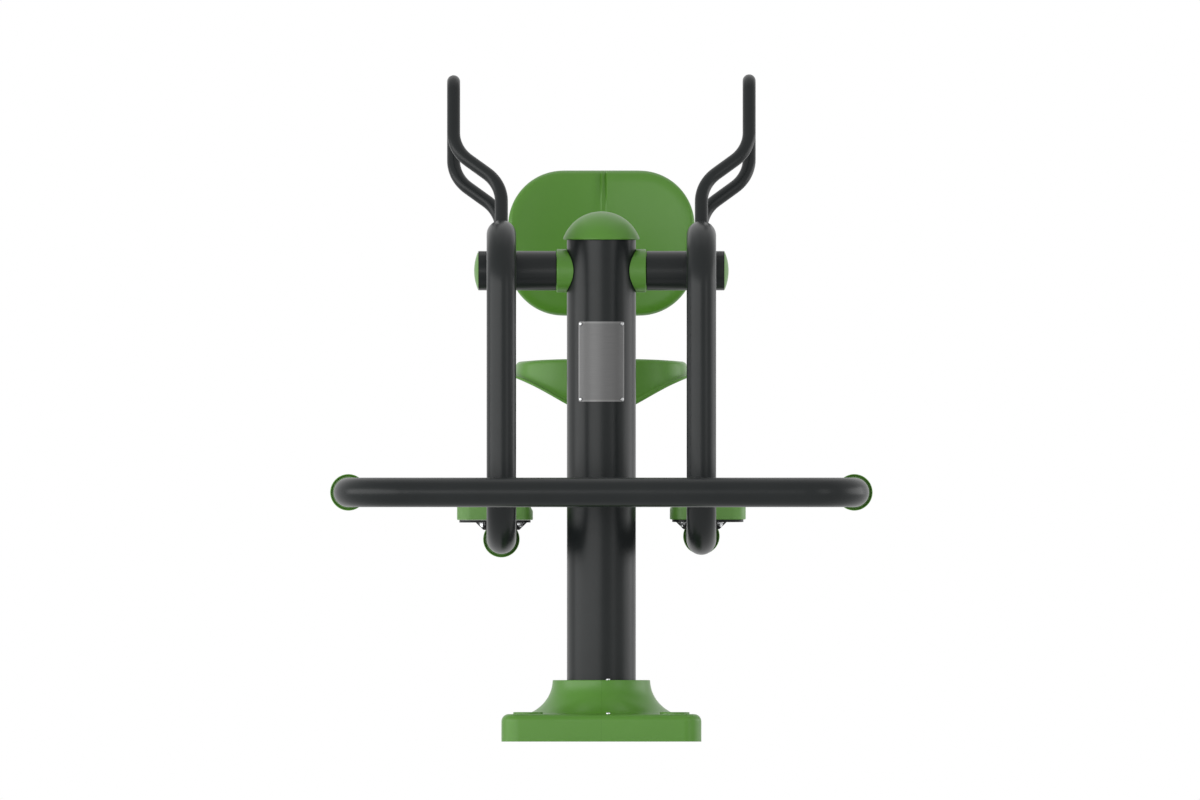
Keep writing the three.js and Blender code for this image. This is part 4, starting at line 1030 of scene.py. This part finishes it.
class AIRWALKER_OT_axle(Operator):
    """Build the collars, the swinging sleeves and the hub caps of the cross axle"""

    bl_idname = "air_walker.axle"
    bl_label = "Axle and Hubs"

    def collar(self, side, outward, centre):
        """A collar that is cut to the post's round."""
        sizes = settings()
        wall, inner, edge, gap = 0.0128, 0.03, 0.002, 0.0018
        outer, end = sizes.axle.collar_radius, sizes.axle.collar_end
        profile = [(inner, outer - wall), (inner, outer)]
        profile += arc((end - edge, outer - edge), edge, math.pi / 2, 0, 5)
        profile += [(end, outer - wall), (inner, outer - wall)]
        collar = turned_piece(f"saddle_collar_{side}", profile, outward, centre, POST_SIDES)
        radius = sizes.post.radius + gap
        saddle = [(0.8, 0), (0.8, radius), (1.1, radius), (1.1, 0)]
        carved(collar, [turned_piece("saddle", saddle, Z_AXIS, Vector(), SADDLE_SIDES)], "DIFFERENCE")
        finished(collar, "frame", "green_plastic", [f"{side}_axle_collar"], sharp=28)

    def hub(self, side, centre):
        """A swinging sleeve and the domed cap in its outer end."""
        axle = settings().axle
        body, placing = f"{side}_arm", on_side(side)
        wall, edge, plug_wall, plug_depth, bevel = 0.004, 0.0008, 0.004, 0.012, 0.0005
        outer, start, end = axle.sleeve_radius, axle.sleeve_start, axle.sleeve_end
        bore = outer - wall
        profile = [(start, bore), (start, outer - edge), (start + edge, outer)]
        profile += [(end - edge, outer), (end, outer - edge), (end, bore), (start, bore)]
        sleeve = turned_piece(f"swing_sleeve_{side}", profile, X_AXIS, centre, HUB_SIDES)
        finished(sleeve, body, "anthracite_coat", [f"{side}_hub_sleeve"], **placing)

        start = axle.sleeve_end + WELD_GAP
        ball = (outer * outer + axle.cap_bulge ** 2) / (2 * axle.cap_bulge)
        plug = bore - WELD_GAP
        foot = start - plug_depth
        profile = [(start - 0.002, 0), (start - 0.002, plug - plug_wall), (foot, plug - plug_wall)]
        profile += [(foot, plug - bevel), (foot + bevel, plug), (start, plug)]
        profile += arc((start + axle.cap_bulge - ball, 0), ball, math.asin(outer / ball), 0, 16)
        cap = turned_piece(f"hub_dome_{side}", profile, X_AXIS, centre, HUB_SIDES)
        finished(cap, body, "green_plastic", [f"{side}_hub_cap"], **placing)

    def execute(self, context):
        centre = Vector((0, 0, settings().axle.height))
        for side, sign in SIDES:
            self.collar(side, X_AXIS * sign, centre)
            self.hub(side, centre)
        return {"FINISHED"}


class AIRWALKER_OT_arms(Operator):
    """Build the two C-shaped arm tubes with their loop handles, end caps and weld beads"""

    bl_idname = "air_walker.arms"
    bl_label = "Swing Arms"

    def arm_corners(self):
        arm = settings().arm
        hook_reach = arm.bend * math.tan(arm.hook / 2)
        hook_corner = Vector((arm.offset, arm.bend - arm.forward + hook_reach, arm.top))
        down = Vector((0, math.cos(arm.hook), -math.sin(arm.hook)))
        into_sleeve = 0.005
        return [
            Vector((arm.offset, arm.rear, arm.bottom)),
            Vector((arm.offset, -arm.forward, arm.bottom)),
            Vector((arm.offset, -arm.forward, arm.top)),
            hook_corner,
            hook_corner + down * (hook_reach + into_sleeve),
        ]

    def handle_corners(self):
        """Corners of the loop, from its near foot on the hook to its far foot in the sleeve."""
        sizes = settings()
        arm, handle, height = sizes.arm, sizes.handle, sizes.axle.height
        tilt = Matrix.Rotation(-handle.lean, 3, "X")

        def point(x, across, along):
            y = across * math.cos(handle.lean) + along * math.sin(handle.lean)
            z = along * math.cos(handle.lean) - across * math.sin(handle.lean)
            return Vector((x, y, height + z))

        near, far = handle.far - handle.spacing, handle.far
        hook = tilt.inverted() @ Vector((0, arm.bend - arm.forward, arm.top - arm.bend - height))
        foot = hook.z + math.sqrt(arm.bend ** 2 - (near - hook.y) ** 2)
        corners = [point(arm.offset, near, foot), point(arm.offset, near, handle.low)]
        corners += [point(handle.offset, near, handle.high), point(handle.offset, near, handle.reach)]
        corners += [point(handle.offset, far, handle.reach), point(handle.offset, far, handle.high)]
        corners += [point(arm.offset, far, handle.low), point(arm.offset, far, 0)]
        return corners

    def execute(self, context):
        sizes = settings()
        arm, handle = sizes.arm, sizes.handle
        elbows = [handle.elbow] * 2
        for side, _ in SIDES:
            body, placing = f"{side}_arm", on_side(side)
            tube = bent_tube(f"swing_tube_{side}", self.arm_corners(), [arm.bend] * 3, arm.radius)
            bends = [*elbows, handle.corner, handle.corner, *elbows]
            loop = bent_tube(
                f"loop_handle_{side}", self.handle_corners(), bends, handle.radius, SMALL_SIDES
            )
            cap = end_cap(f"arm_cap_{side}", Vector((arm.offset, arm.rear, arm.bottom)))
            finished(tube, body, "anthracite_coat", [f"{side}_arm_tube"], **placing)
            finished(loop, body, "anthracite_coat", [f"{side}_handle"], **placing)
            finished(cap, body, "green_plastic", [f"{side}_arm_end_cap"], **placing)
            sleeve = bpy.data.objects[f"swing_sleeve_{side}"]
            weld_bead(f"arm_bead_{side}", tube, sleeve, body)
            weld_bead(f"loop_bead_near_{side}", loop, tube, body, 0.002)
            weld_bead(f"loop_bead_far_{side}", loop, sleeve, body, 0.002)
        return {"FINISHED"}


class AIRWALKER_OT_pads(Operator):
    """Build the foot pads with their treads, brackets, nuts and washers"""

    bl_idname = "air_walker.pads"
    bl_label = "Foot Pads"

    def middle(self, z):
        """The pad's middle in plan, at a height."""
        arm, pad = settings().arm, settings().pad
        return Vector((arm.offset + pad.outboard, pad.front + pad.length / 2, z))

    def pad(self, side):
        pad = settings().pad
        half = pad.height / 2
        wall_slope, rim_round, foot_round = 0.002, 0.004, 0.0015
        bm = bmesh.new()
        box_in(bm, (pad.width, pad.length, pad.height))
        rounded_along(bm, Z_AXIS, pad.corner, 12)
        bm.faces.ensure_lookup_table()
        top = max(bm.faces, key=lambda face: face.calc_center_median().z)
        for width in (pad.rim, wall_slope):
            bmesh.ops.inset_region(bm, faces=[top], thickness=width, depth=0, use_even_offset=True)
        bmesh.ops.translate(bm, verts=list(top.verts), vec=(0, 0, -pad.recess))
        rims = [
            edge for edge in bm.edges
            if min(vert.co.z for vert in edge.verts) > half - TINY
            and edge.calc_face_angle(0) > math.radians(40)
        ]
        rounded(bm, rims, rim_round, 4)
        foot = [
            edge for edge in bm.edges
            if max(vert.co.z for vert in edge.verts) < TINY - half and edge.calc_face_angle(0) > 1
        ]
        rounded(bm, foot, foot_round, 2)
        slope_foot = half - pad.slope_depth
        sliced(bm, [slope_foot], Z_AXIS)
        for vert in bm.verts:
            slope = pad.slope_width * max(0.0, vert.co.z - slope_foot) / pad.slope_depth
            vert.co.x = max(vert.co.x, slope - pad.width / 2)
        bmesh.ops.translate(bm, vec=self.middle(pad.bottom + half), verts=bm.verts[:])
        shell = mesh_object(f"foot_pad_{side}", bm)
        finished(
            shell, f"{side}_arm", "green_plastic", [f"{side}_pad"], green_rubber_painted_light, sharp=28, **on_side(side)
        )

    def tread(self, side):
        """Raised bars across the pad's floor, in two staggered rows."""
        pad = settings().pad
        columns, rows, bar_share, bar_width, bar_height, rise = 4, 15, 0.62, 0.0065, 0.0052, 0.0006
        side_room, end_room, bar_round, stagger = 0.01, 0.012, 0.0018, 0.25
        centre = self.middle(pad.bottom + pad.height - pad.recess + rise)
        room_x = pad.width - (pad.rim + side_room) * 2
        room_y = pad.length - (pad.rim + end_room) * 2
        size = (room_x / columns * bar_share, bar_width, bar_height)
        bm = bmesh.new()
        for row in range(rows):
            shift = stagger if row % 2 else -stagger
            for column in range(columns):
                x = (column + 0.5 + shift) / columns * room_x - room_x / 2
                y = (row + 0.5) / rows * room_y - room_y / 2
                bar = box_in(bm, size)
                upper = [edge for edge in edges_of(bar) if min(vert.co.z for vert in edge.verts) > 0]
                bevelled = rounded(bm, upper, bar_round, 2)
                kept = {vert for face in bevelled["faces"] for vert in face.verts}
                kept.update(vert for vert in bar if vert.is_valid)
                bmesh.ops.translate(bm, verts=list(kept), vec=centre + Vector((x, y, 0)))
        bars = mesh_object(f"tread_bars_{side}", bm)
        finished(bars, f"{side}_arm", "green_plastic", finish=green_rubber_painted_light, **on_side(side))

    def bracket(self, side):
        """The carrier plate with its two ribs, which saddle the arm's lower run."""
        pad = settings().pad
        margin, thick, edge_round, rib_inset, rib = 0.0045, 0.005, 0.0008, 0.048, 0.005
        top_half, low_half, rib_drop, overlap = 0.0535, 0.0365, 0.0165, 0.0035
        plate_top = pad.bottom - WELD_GAP
        centre = self.middle(plate_top - thick / 2)
        size = Vector((pad.width - margin * 2, pad.length - margin * 2, thick))
        corner = pad.corner - margin
        plate = block_piece(f"pad_carrier_{side}", size, centre, Z_AXIS, corner, edge_round)
        ribs = []
        for end in (-1, 1):
            y = centre.y + end * (pad.length / 2 - rib_inset) - rib / 2
            outline = [(-top_half, 0), (top_half, 0), (low_half, -rib_drop), (-low_half, -rib_drop)]
            corners = [(settings().arm.offset + x, y, plate_top - overlap + z) for x, z in outline]
            ribs.append(flat_rib(f"pad_rib_{side}_{end}", corners, (0, rib, 0), 0.0006))
        carved(plate, ribs, "UNION")
        body = f"{side}_arm"
        finished(plate, body, "black_coat", [f"{side}_pad_bracket"], **on_side(side))
        weld_bead(f"pad_bead_{side}", plate, bpy.data.objects[f"swing_tube_{side}"], body, 0.0018)

    def nuts(self, side):
        pad = settings().pad
        half_x, inset, radius, stud = 0.038, 0.022, 0.0065, 0.004
        under = self.middle(pad.bottom - 0.0056)
        bm = bmesh.new()
        for x in (-half_x, half_x):
            for y in (-1, 1):
                place = Vector((settings().arm.offset + x, under.y + y * (pad.length / 2 - inset), under.z))
                hex_nut(bm, place, -Z_AXIS, radius, radius, stud)
        nuts = mesh_object(f"pad_nuts_{side}", bm)
        finished(nuts, f"{side}_arm", "zinc_plate", [f"{side}_pad_insert"], **on_side(side))

    def execute(self, context):
        for side, _ in SIDES:
            for step in (self.pad, self.tread, self.bracket, self.nuts):
                step(side)
        return {"FINISHED"}


class AIRWALKER_OT_guard(Operator):
    """Build the U-shaped guard bar, its end caps and its strut"""

    bl_idname = "air_walker.guard"
    bl_label = "Guard Bar"

    def execute(self, context):
        sizes = settings()
        guard, arm = sizes.guard, sizes.arm
        corners = [
            Vector((x * guard.offset, y, guard.height))
            for x, y in ((-1, guard.rear), (-1, -guard.forward), (1, -guard.forward), (1, guard.rear))
        ]
        bar = bent_tube("guard_rail", corners, [arm.bend] * 2, arm.radius, GUARD_SIDES)
        finished(bar, "frame", "anthracite_coat", ["guard_bar"])
        for side, sign in SIDES:
            cap = end_cap(f"guard_end_{side}", Vector((sign * guard.offset, guard.rear, guard.height)))
            finished(cap, "frame", "green_plastic", [f"{side}_guard_cap"])
        start, end, radius = sizes.post.radius - 0.004, guard.forward, guard.strut_radius
        profile = [(start, 0), (start, radius), (end, radius), (end, 0)]
        strut = turned_piece("strut_tube", profile, -Y_AXIS, Vector((0, 0, guard.height)), GUARD_SIDES)
        finished(strut, "frame", "anthracite_coat", ["guard_strut"])
        post = bpy.data.objects["post_shell"]
        weld_bead("strut_bead_post", strut, post, "frame", keep=lambda places: places[0].y < -0.06)
        weld_bead("strut_bead_bar", strut, bar, "frame")
        return {"FINISHED"}


class AIRWALKER_OT_seat_beam(Operator):
    """Build the seat beam with its ribs, the pedestal and the carrier plates"""

    bl_idname = "air_walker.seat_beam"
    bl_label = "Seat Beam"

    def ribs(self):
        """The two triangular ribs between the beam and the post."""
        sizes = settings()
        radius, height = sizes.arm.radius, sizes.seat.beam_height
        start, size, sunk, toe, thick = sizes.post.radius - 0.002, 0.082, 0.002, 0.001, 0.006
        outline = [(start, radius - sunk), (start + size, radius - sunk), (start + size, radius + toe)]
        outline.append((start, radius + size))
        made = []
        for sign in (-1, 1):
            corners = [(-thick / 2, y, height + sign * z) for y, z in outline]
            made.append(flat_rib(f"beam_rib_{sign}", corners, (thick, 0, 0), 0.0008))
        return made

    def beam(self):
        sizes = settings()
        seat, radius = sizes.seat, sizes.arm.radius
        corners = [Vector((0, sizes.post.radius - 0.004, seat.beam_height))]
        corners.append(Vector((0, seat.beam_rear, seat.beam_height)))
        corners.append(Vector((0, seat.beam_rear, seat.beam_top)))
        beam = bent_tube("seat_beam_tube", corners, [sizes.arm.bend], radius)
        carved(beam, self.ribs(), "UNION")
        finished(beam, "frame", "anthracite_coat", ["seat_beam"])

        wall, edge, plug_depth = 0.004, 0.0015, 0.015
        top = seat.beam_top + WELD_GAP
        profile = [(top - plug_depth, 0), (top - plug_depth, radius - wall), (top, radius - wall)]
        profile += arc((top + 0.001, radius - edge), edge, math.pi / 2, 0, 4)
        profile.append((top + 0.0035, 0))
        plug = turned_piece("beam_plug", profile, Z_AXIS, Vector((0, seat.beam_rear, 0)), BEAM_SIDES)
        finished(plug, "frame", "black_plastic", ["seat_beam_cap"])
        return beam

    def pedestal(self):
        seat, radius = settings().seat, settings().arm.radius
        foot = seat.beam_height + radius * 0.8
        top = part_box("seat_plate")[0].z - WELD_GAP
        profile = [(foot, 0), (foot, radius), (top, radius), (top, 0)]
        pedestal = turned_piece("pedestal_tube", profile, Z_AXIS, Vector((0, seat.middle, 0)), BEAM_SIDES)
        return finished(pedestal, "frame", "anthracite_coat", ["seat_pedestal"])

    def nuts(self, node, outward):
        """Four nuts under a carrier plate, where the stud plate's own nuts are."""
        low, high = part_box(node)
        middle = (low + high) / 2
        margin, stud_length, radius, height, stud = 0.009, 0.005, 0.0065, 0.0062, 0.0038
        half = (high - low) / 2 - Vector((margin, margin, margin))
        bm = bmesh.new()
        for a in (-1, 1):
            for b in (-1, 1):
                if outward.z < 0:
                    place = Vector((middle.x + a * half.x, middle.y + b * half.y, low.z + stud_length))
                else:
                    place = Vector((middle.x + a * half.x, high.y - stud_length, middle.z + b * half.z))
                hex_nut(bm, place, outward, radius, height, stud)
        nuts = mesh_object(node.replace("insert", "nuts"), bm)
        finished(nuts, "frame", "zinc_plate", [node])

    def execute(self, context):
        beam = self.beam()
        pedestal = self.pedestal()
        for node, axis in (("seat_plate", Z_AXIS), ("backrest_plate", Y_AXIS)):
            low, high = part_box(node)
            plate = block_piece(f"carrier_{node}", high - low, (low + high) / 2, axis, 0.012, 0.0008)
            finished(plate, "frame", "black_coat", [node])
        self.nuts("seat_insert", -Z_AXIS)
        self.nuts("backrest_insert", Y_AXIS)
        post = bpy.data.objects["post_shell"]
        weld_bead("beam_bead_post", beam, post, "frame", keep=lambda places: places[0].y > 0.06)
        weld_bead("pedestal_bead", pedestal, beam, "frame")
        return {"FINISHED"}


class AIRWALKER_OT_seat(Operator):
    """Build the moulded seat with its skirt and its deep front apron"""

    bl_idname = "air_walker.seat"
    bl_label = "Seat"

    def rings(self):
        """Each ring's share of the outline, its drop in the top's round, its shares of skirt and flare."""
        seat = settings().seat
        start, turn_step, skirt_width = 0.868, 13, 0.012
        inner = (0.05, 0.15, 0.26, 0.37, 0.48, 0.58, 0.67, 0.75, 0.81, 0.845, start)
        kept = [(out, 0.0, 0.0, 0.0) for out in inner]
        for step in range(1, 7):
            angle = math.radians(turn_step * step)
            out = start + seat.edge_round * math.sin(angle) / seat.half_depth
            kept.append((out, seat.edge_round * (1 - math.cos(angle)), 0.0, 0.0))
        last, roll = kept[-1][:2]
        for part, fall in ((0.25, 0.16), (0.5, 0.34), (0.75, 0.54), (1.0, 0.76)):
            kept.append((last + skirt_width * part, roll, fall, 0.0))
        apron = ((0.16, 0.91, 0.0), (0.32, 0.975, 0.0), (0.48, 1.0, 0.0))
        apron += ((0.64, 1.0, 0.4), (0.82, 1.0, 0.8), (1.0, 1.0, 1.0))
        for part, fall, flare in apron:
            kept.append((last + skirt_width + (1 - skirt_width - last) * part, roll, fall, flare))
        return kept[::-1]

    def height(self, across, front, out, roll, fall, flare):
        """Height of the seat's upper face."""
        seat = settings().seat
        nose_hollow, below_skirt, turn_in = 1.24, 0.0035, 0.35
        side = seat.side_drop * abs(across * out) ** 3
        aside = (across * out * seat.half_width / seat.nose_half_width) ** 2
        nose = seat.nose_drop * (1 - aside) / (1 + nose_hollow * aside)
        facing = smooth_step(-turn_in, turn_in, front)
        foot = seat.flare * facing * max(0.0, 1 - aside) ** 3
        rim = seat.skirt + (seat.apron + nose - seat.skirt) * facing + below_skirt - foot
        fallen = (rim - side * facing - roll) * fall + foot * flare
        return seat.top - side - seat.dish * (1 - out * out) - roll - fallen

    def sheet(self):
        """The seat's upper face as rings that run inward from the rim."""
        seat = settings().seat
        bm = bmesh.new()
        ring = bmesh.ops.create_circle(bm, cap_ends=False, segments=160, radius=1)["verts"]
        for vert in ring:
            vert.co.x = math.copysign(abs(vert.co.x) ** (2 / OUTLINE_POWER), vert.co.x)
            vert.co.y = math.copysign(abs(vert.co.y) ** (2 / OUTLINE_POWER), vert.co.y)
        bmesh.ops.scale(bm, vec=(seat.half_width, seat.half_depth, 1), verts=ring)
        before = 1.0
        for out, *levels in self.rings():
            if out < before:
                ring = verts_in(bmesh.ops.extrude_edge_only(bm, edges=edges_of(ring))["geom"])
            for vert in ring:
                across = vert.co.x / seat.half_width / before
                front = -vert.co.y / seat.half_depth / before
                place = (across * out * seat.half_width, -front * out * seat.half_depth)
                vert.co = Vector((*place, self.height(across, front, out, *levels)))
            before = out
        bmesh.ops.edgeloop_fill(bm, edges=edges_of(ring))
        bmesh.ops.translate(bm, vec=(0, seat.middle, 0), verts=bm.verts[:])
        bmesh.ops.recalc_face_normals(bm, faces=bm.faces[:])
        bm.faces.ensure_lookup_table()
        bm.faces[-1].normal_update()
        if bm.faces[-1].normal.z < 0:
            bmesh.ops.reverse_faces(bm, faces=bm.faces[:])
        return bm

    def in_rim(self, vert):
        seat = settings().seat
        x, y = abs(vert.co.x) / seat.half_width, abs(vert.co.y - seat.middle) / seat.half_depth
        return x ** OUTLINE_POWER + y ** OUTLINE_POWER > 0.88

    def execute(self, context):
        seat = settings().seat
        shape = thickened(sheet_object("moulded_seat", self.sheet()), seat.wall, even=True)
        bm = bmesh.new()
        bm.from_mesh(shape.data)
        rims = [
            edge for edge in bm.edges
            if edge.calc_face_angle(0) > math.radians(50) and all(self.in_rim(vert) for vert in edge.verts)
        ]
        rounded(bm, rims, 0.0016, 3)
        bmesh.ops.recalc_face_normals(bm, faces=bm.faces[:])
        bm.to_mesh(shape.data)
        bm.free()
        low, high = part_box("seat_plate")
        foot = high.z + WELD_GAP
        size = Vector((high.x - low.x, high.y - low.y, seat.top - seat.dish - 0.003 - foot))
        centre = Vector((0, seat.middle, foot + size.z / 2))
        carved(shape, [block_piece("seat_boss", size, centre, Z_AXIS, 0.014, 0.0015)], "UNION")
        finished(shape, "frame", "green_plastic", ["seat"], sharp=40)
        return {"FINISHED"}


class AIRWALKER_OT_backrest(Operator):
    """Build the moulded backrest with its wings, rolled rim and centre crease"""

    bl_idname = "air_walker.backrest"
    bl_label = "Backrest"

    def groove(self, x):
        """Depth share of the double groove with its thin ridge, across the backrest's middle."""
        shape = [(-0.0138, 0), (-0.0022, 1), (0.0006, 0.3), (0.0012, 0.3), (0.0085, 1), (0.0108, 0)]
        for (low, start), (high, end) in zip(shape, shape[1:]):
            if low <= x < high:
                return start + (end - start) * (x - low) / (high - low)
        return 0

    def execute(self, context):
        seat = settings().seat
        half_x, half_z, corner = seat.back_half_width, seat.back_half_height, seat.back_corner
        slices, roll_width, roll_depth, groove_depth, groove_foot = 36, 0.013, 0.009, 0.0055, 0.035
        bm = bmesh.new()
        rounded_block(bm, Vector((half_x * 2, seat.shell, half_z * 2)), Vector(), Y_AXIS, corner, 0.005)
        groove = [-0.0138, -0.011, -0.008, -0.005, -0.0022, -0.001, 0.0006, 0.0012]
        groove += [0.003, 0.005, 0.007, 0.0085, 0.0108]
        sliced(bm, [*evenly(-half_x, half_x, slices), *groove], X_AXIS)
        sliced(bm, evenly(-half_z, half_z, slices), Z_AXIS)
        for vert in bm.verts:
            x, z = vert.co.x, vert.co.z
            wrap = -seat.back_wrap * (x / half_x) ** 2 + seat.back_bow * (z / half_z) ** 2
            past = Vector((max(0.0, abs(x) - half_x + corner), max(0.0, abs(z) - half_z + corner))).length
            rolled = roll_depth * max(0.0, (past - corner + roll_width) / roll_width) ** 1.8
            fade = smooth_step(groove_foot, half_z, z)
            vert.co.y += seat.back_place + wrap + rolled + self.groove(x) * groove_depth * fade
            vert.co.z += seat.back_middle
        shape = mesh_object("moulded_backrest", bm)
        low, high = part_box("backrest_plate")
        size = Vector((high.x - low.x, low.y - WELD_GAP - seat.back_place, high.z - low.z))
        centre = Vector((0, seat.back_place + size.y / 2, seat.back_middle))
        carved(shape, [block_piece("backrest_boss", size, centre, Y_AXIS, 0.014, 0.0015)], "UNION")
        finished(shape, "frame", "green_plastic", ["backrest"], sharp=40)
        return {"FINISHED"}


class AIRWALKER_OT_inner_parts(Operator):
    """Give the base plate, the anchors and the parts inside the hubs their finishes"""

    bl_idname = "air_walker.inner_parts"
    bl_label = "Inner Parts"

    def execute(self, context):
        for part in frame["record"]["subparts"]:
            node = frame["nodes"][part["node"]]
            node.data.materials.clear()
            node.data.materials.append(FINISHES[part["material_slot"]]())
        return {"FINISHED"}


class AIRWALKER_OT_stage(Operator):
    """Set up the camera, the soft lights, the pale floor and the white surroundings"""

    bl_idname = "air_walker.stage"
    bl_label = "Camera and Lights"

    def lamp(self, name, bearing, distance, height, size, watts):
        """A soft box at a bearing from the front, counted to the right, aimed at the post."""
        light = bpy.data.lights.new(name, "AREA")
        light.shape = "RECTANGLE"
        light.size, light.size_y = size
        light.energy = watts
        angle = math.radians(bearing)
        place = Vector((distance * math.sin(angle), -distance * math.cos(angle), height))
        aim = (Vector((0, 0, 0.75)) - place).to_track_quat("-Z", "Y")
        new_object(name, light).matrix_world = Matrix.Translation(place) @ aim.to_matrix().to_4x4()

    def seen_directly(self, nodes, links, camera_share=None):
        """1 for reflections and rays through clear bodies, 1 or a share for the camera, 0 for others."""
        path = nodes.new("ShaderNodeLightPath")

        def joined(operation, first, second):
            node = nodes.new("ShaderNodeMath")
            node.operation = operation
            links.new(first, node.inputs[0])
            links.new(second, node.inputs[1])
            return node.outputs[0]

        camera = path.outputs["Is Camera Ray"]
        if camera_share is not None:
            camera = joined("MULTIPLY", camera, camera_share)
        either = joined("MAXIMUM", camera, path.outputs["Is Glossy Ray"])
        return joined("MAXIMUM", either, path.outputs["Is Transmission Ray"])

    def blended(self, tree, share, first, second, end):
        """Shows the first shader, and the second by a share, at a tree's end node."""
        blend = tree.nodes.new("ShaderNodeMixShader")
        for socket, source in zip(blend.inputs, (share, first.outputs[0], second.outputs[0])):
            tree.links.new(source, socket)
        tree.links.new(blend.outputs[0], tree.nodes[end].inputs["Surface"])

    def floor(self):
        bm = bmesh.new()
        level = Matrix.Translation((0, 0, -0.0005))
        bmesh.ops.create_circle(bm, cap_ends=True, segments=POST_SIDES, radius=30, matrix=level)
        floor = mesh_object("studio_floor", bm)
        material = bpy.data.materials.new("studio_white")
        material.use_nodes = True
        nodes, links = material.node_tree.nodes, material.node_tree.links
        nodes.remove(nodes["Principled BSDF"])
        paint = nodes.new("ShaderNodeBsdfDiffuse")
        paint.inputs["Color"].default_value = (0.9, 0.9, 0.9, 1)
        glow = nodes.new("ShaderNodeEmission")
        place = nodes.new("ShaderNodeTexCoord")
        reach = nodes.new("ShaderNodeVectorMath")
        reach.operation = "LENGTH"
        links.new(place.outputs["Object"], reach.inputs[0])
        white = nodes.new("ShaderNodeMapRange")
        white.interpolation_type = "SMOOTHSTEP"
        for socket, value in (("From Min", 0.3), ("From Max", 2.2), ("To Min", 0.72), ("To Max", 1.0)):
            white.inputs[socket].default_value = value
        links.new(reach.outputs["Value"], white.inputs["Value"])
        share = self.seen_directly(nodes, links, white.outputs["Result"])
        self.blended(material.node_tree, share, paint, glow, "Material Output")
        floor.data.materials.append(material)

    def surroundings(self):
        world = bpy.data.worlds.new("studio_air")
        bpy.context.scene.world = world
        world.use_nodes = True
        nodes, links = world.node_tree.nodes, world.node_tree.links
        light = nodes["Background"]
        light.inputs["Strength"].default_value = settings().stage.ambient
        white = nodes.new("ShaderNodeBackground")
        for sky in (light, white):
            sky.inputs["Color"].default_value = (1, 1, 1, 1)
        self.blended(world.node_tree, self.seen_directly(nodes, links), light, white, "World Output")

    def execute(self, context):
        stage = settings().stage
        camera = bpy.data.cameras.new("front_camera")
        camera.type = "ORTHO"
        camera.ortho_scale = stage.view_width
        camera.clip_end = stage.stand_off * 4
        holder = new_object("front_camera", camera)
        place = Vector((stage.view_middle, -stage.stand_off, stage.view_height))
        holder.matrix_world = Matrix.Translation(place) @ Matrix.Rotation(math.pi / 2, 4, "X")
        bpy.context.scene.camera = holder
        bpy.context.scene.view_settings.view_transform = "Standard"
        self.lamp("left_light", -50, 4, 0.9, (9, 1.9), stage.left)
        self.lamp("rim_light", 102, 4, 0.9, (3.2, 1.9), stage.rim)
        self.lamp("fill_light", 40, 4, 0.9, (0.9, 1.9), stage.fill)
        self.lamp("top_light", 180, 0.8, 3.4, (3, 3), stage.top)
        self.floor()
        self.surroundings()
        return {"FINISHED"}


STEPS = (
    AIRWALKER_OT_inner_parts, AIRWALKER_OT_post, AIRWALKER_OT_base_cover, AIRWALKER_OT_nameplate,
    AIRWALKER_OT_axle, AIRWALKER_OT_arms, AIRWALKER_OT_pads, AIRWALKER_OT_guard, AIRWALKER_OT_seat_beam,
    AIRWALKER_OT_seat, AIRWALKER_OT_backrest, AIRWALKER_OT_stage,
)


class AIRWALKER_PT_panel(Panel):
    """Lists the steps that build the air walker"""

    bl_idname = "AIRWALKER_PT_panel"
    bl_label = "Air Walker"
    bl_space_type = "VIEW_3D"
    bl_region_type = "UI"
    bl_category = "Air Walker"

    def draw(self, context):
        for step in STEPS:
            self.layout.operator(step.bl_idname)


GROUPS = (
    PostSizes, CoverSizes, AxleSizes, ArmSizes, HandleSizes, PadSizes, GuardSizes, SeatSizes,
    FinishColours, StageSettings, WalkerSettings,
)


def register():
    for group in (*GROUPS, *STEPS, AIRWALKER_PT_panel):
        bpy.utils.register_class(group)
    bpy.types.Scene.air_walker = PointerProperty(type=WalkerSettings)


def unregister():
    del bpy.types.Scene.air_walker
    for group in reversed((*GROUPS, *STEPS, AIRWALKER_PT_panel)):
        bpy.utils.unregister_class(group)


def main():
    register()
    for step in STEPS:
        category, name = step.bl_idname.split(".")
        getattr(getattr(bpy.ops, category), name)()


if __name__ == "__main__":
    main()
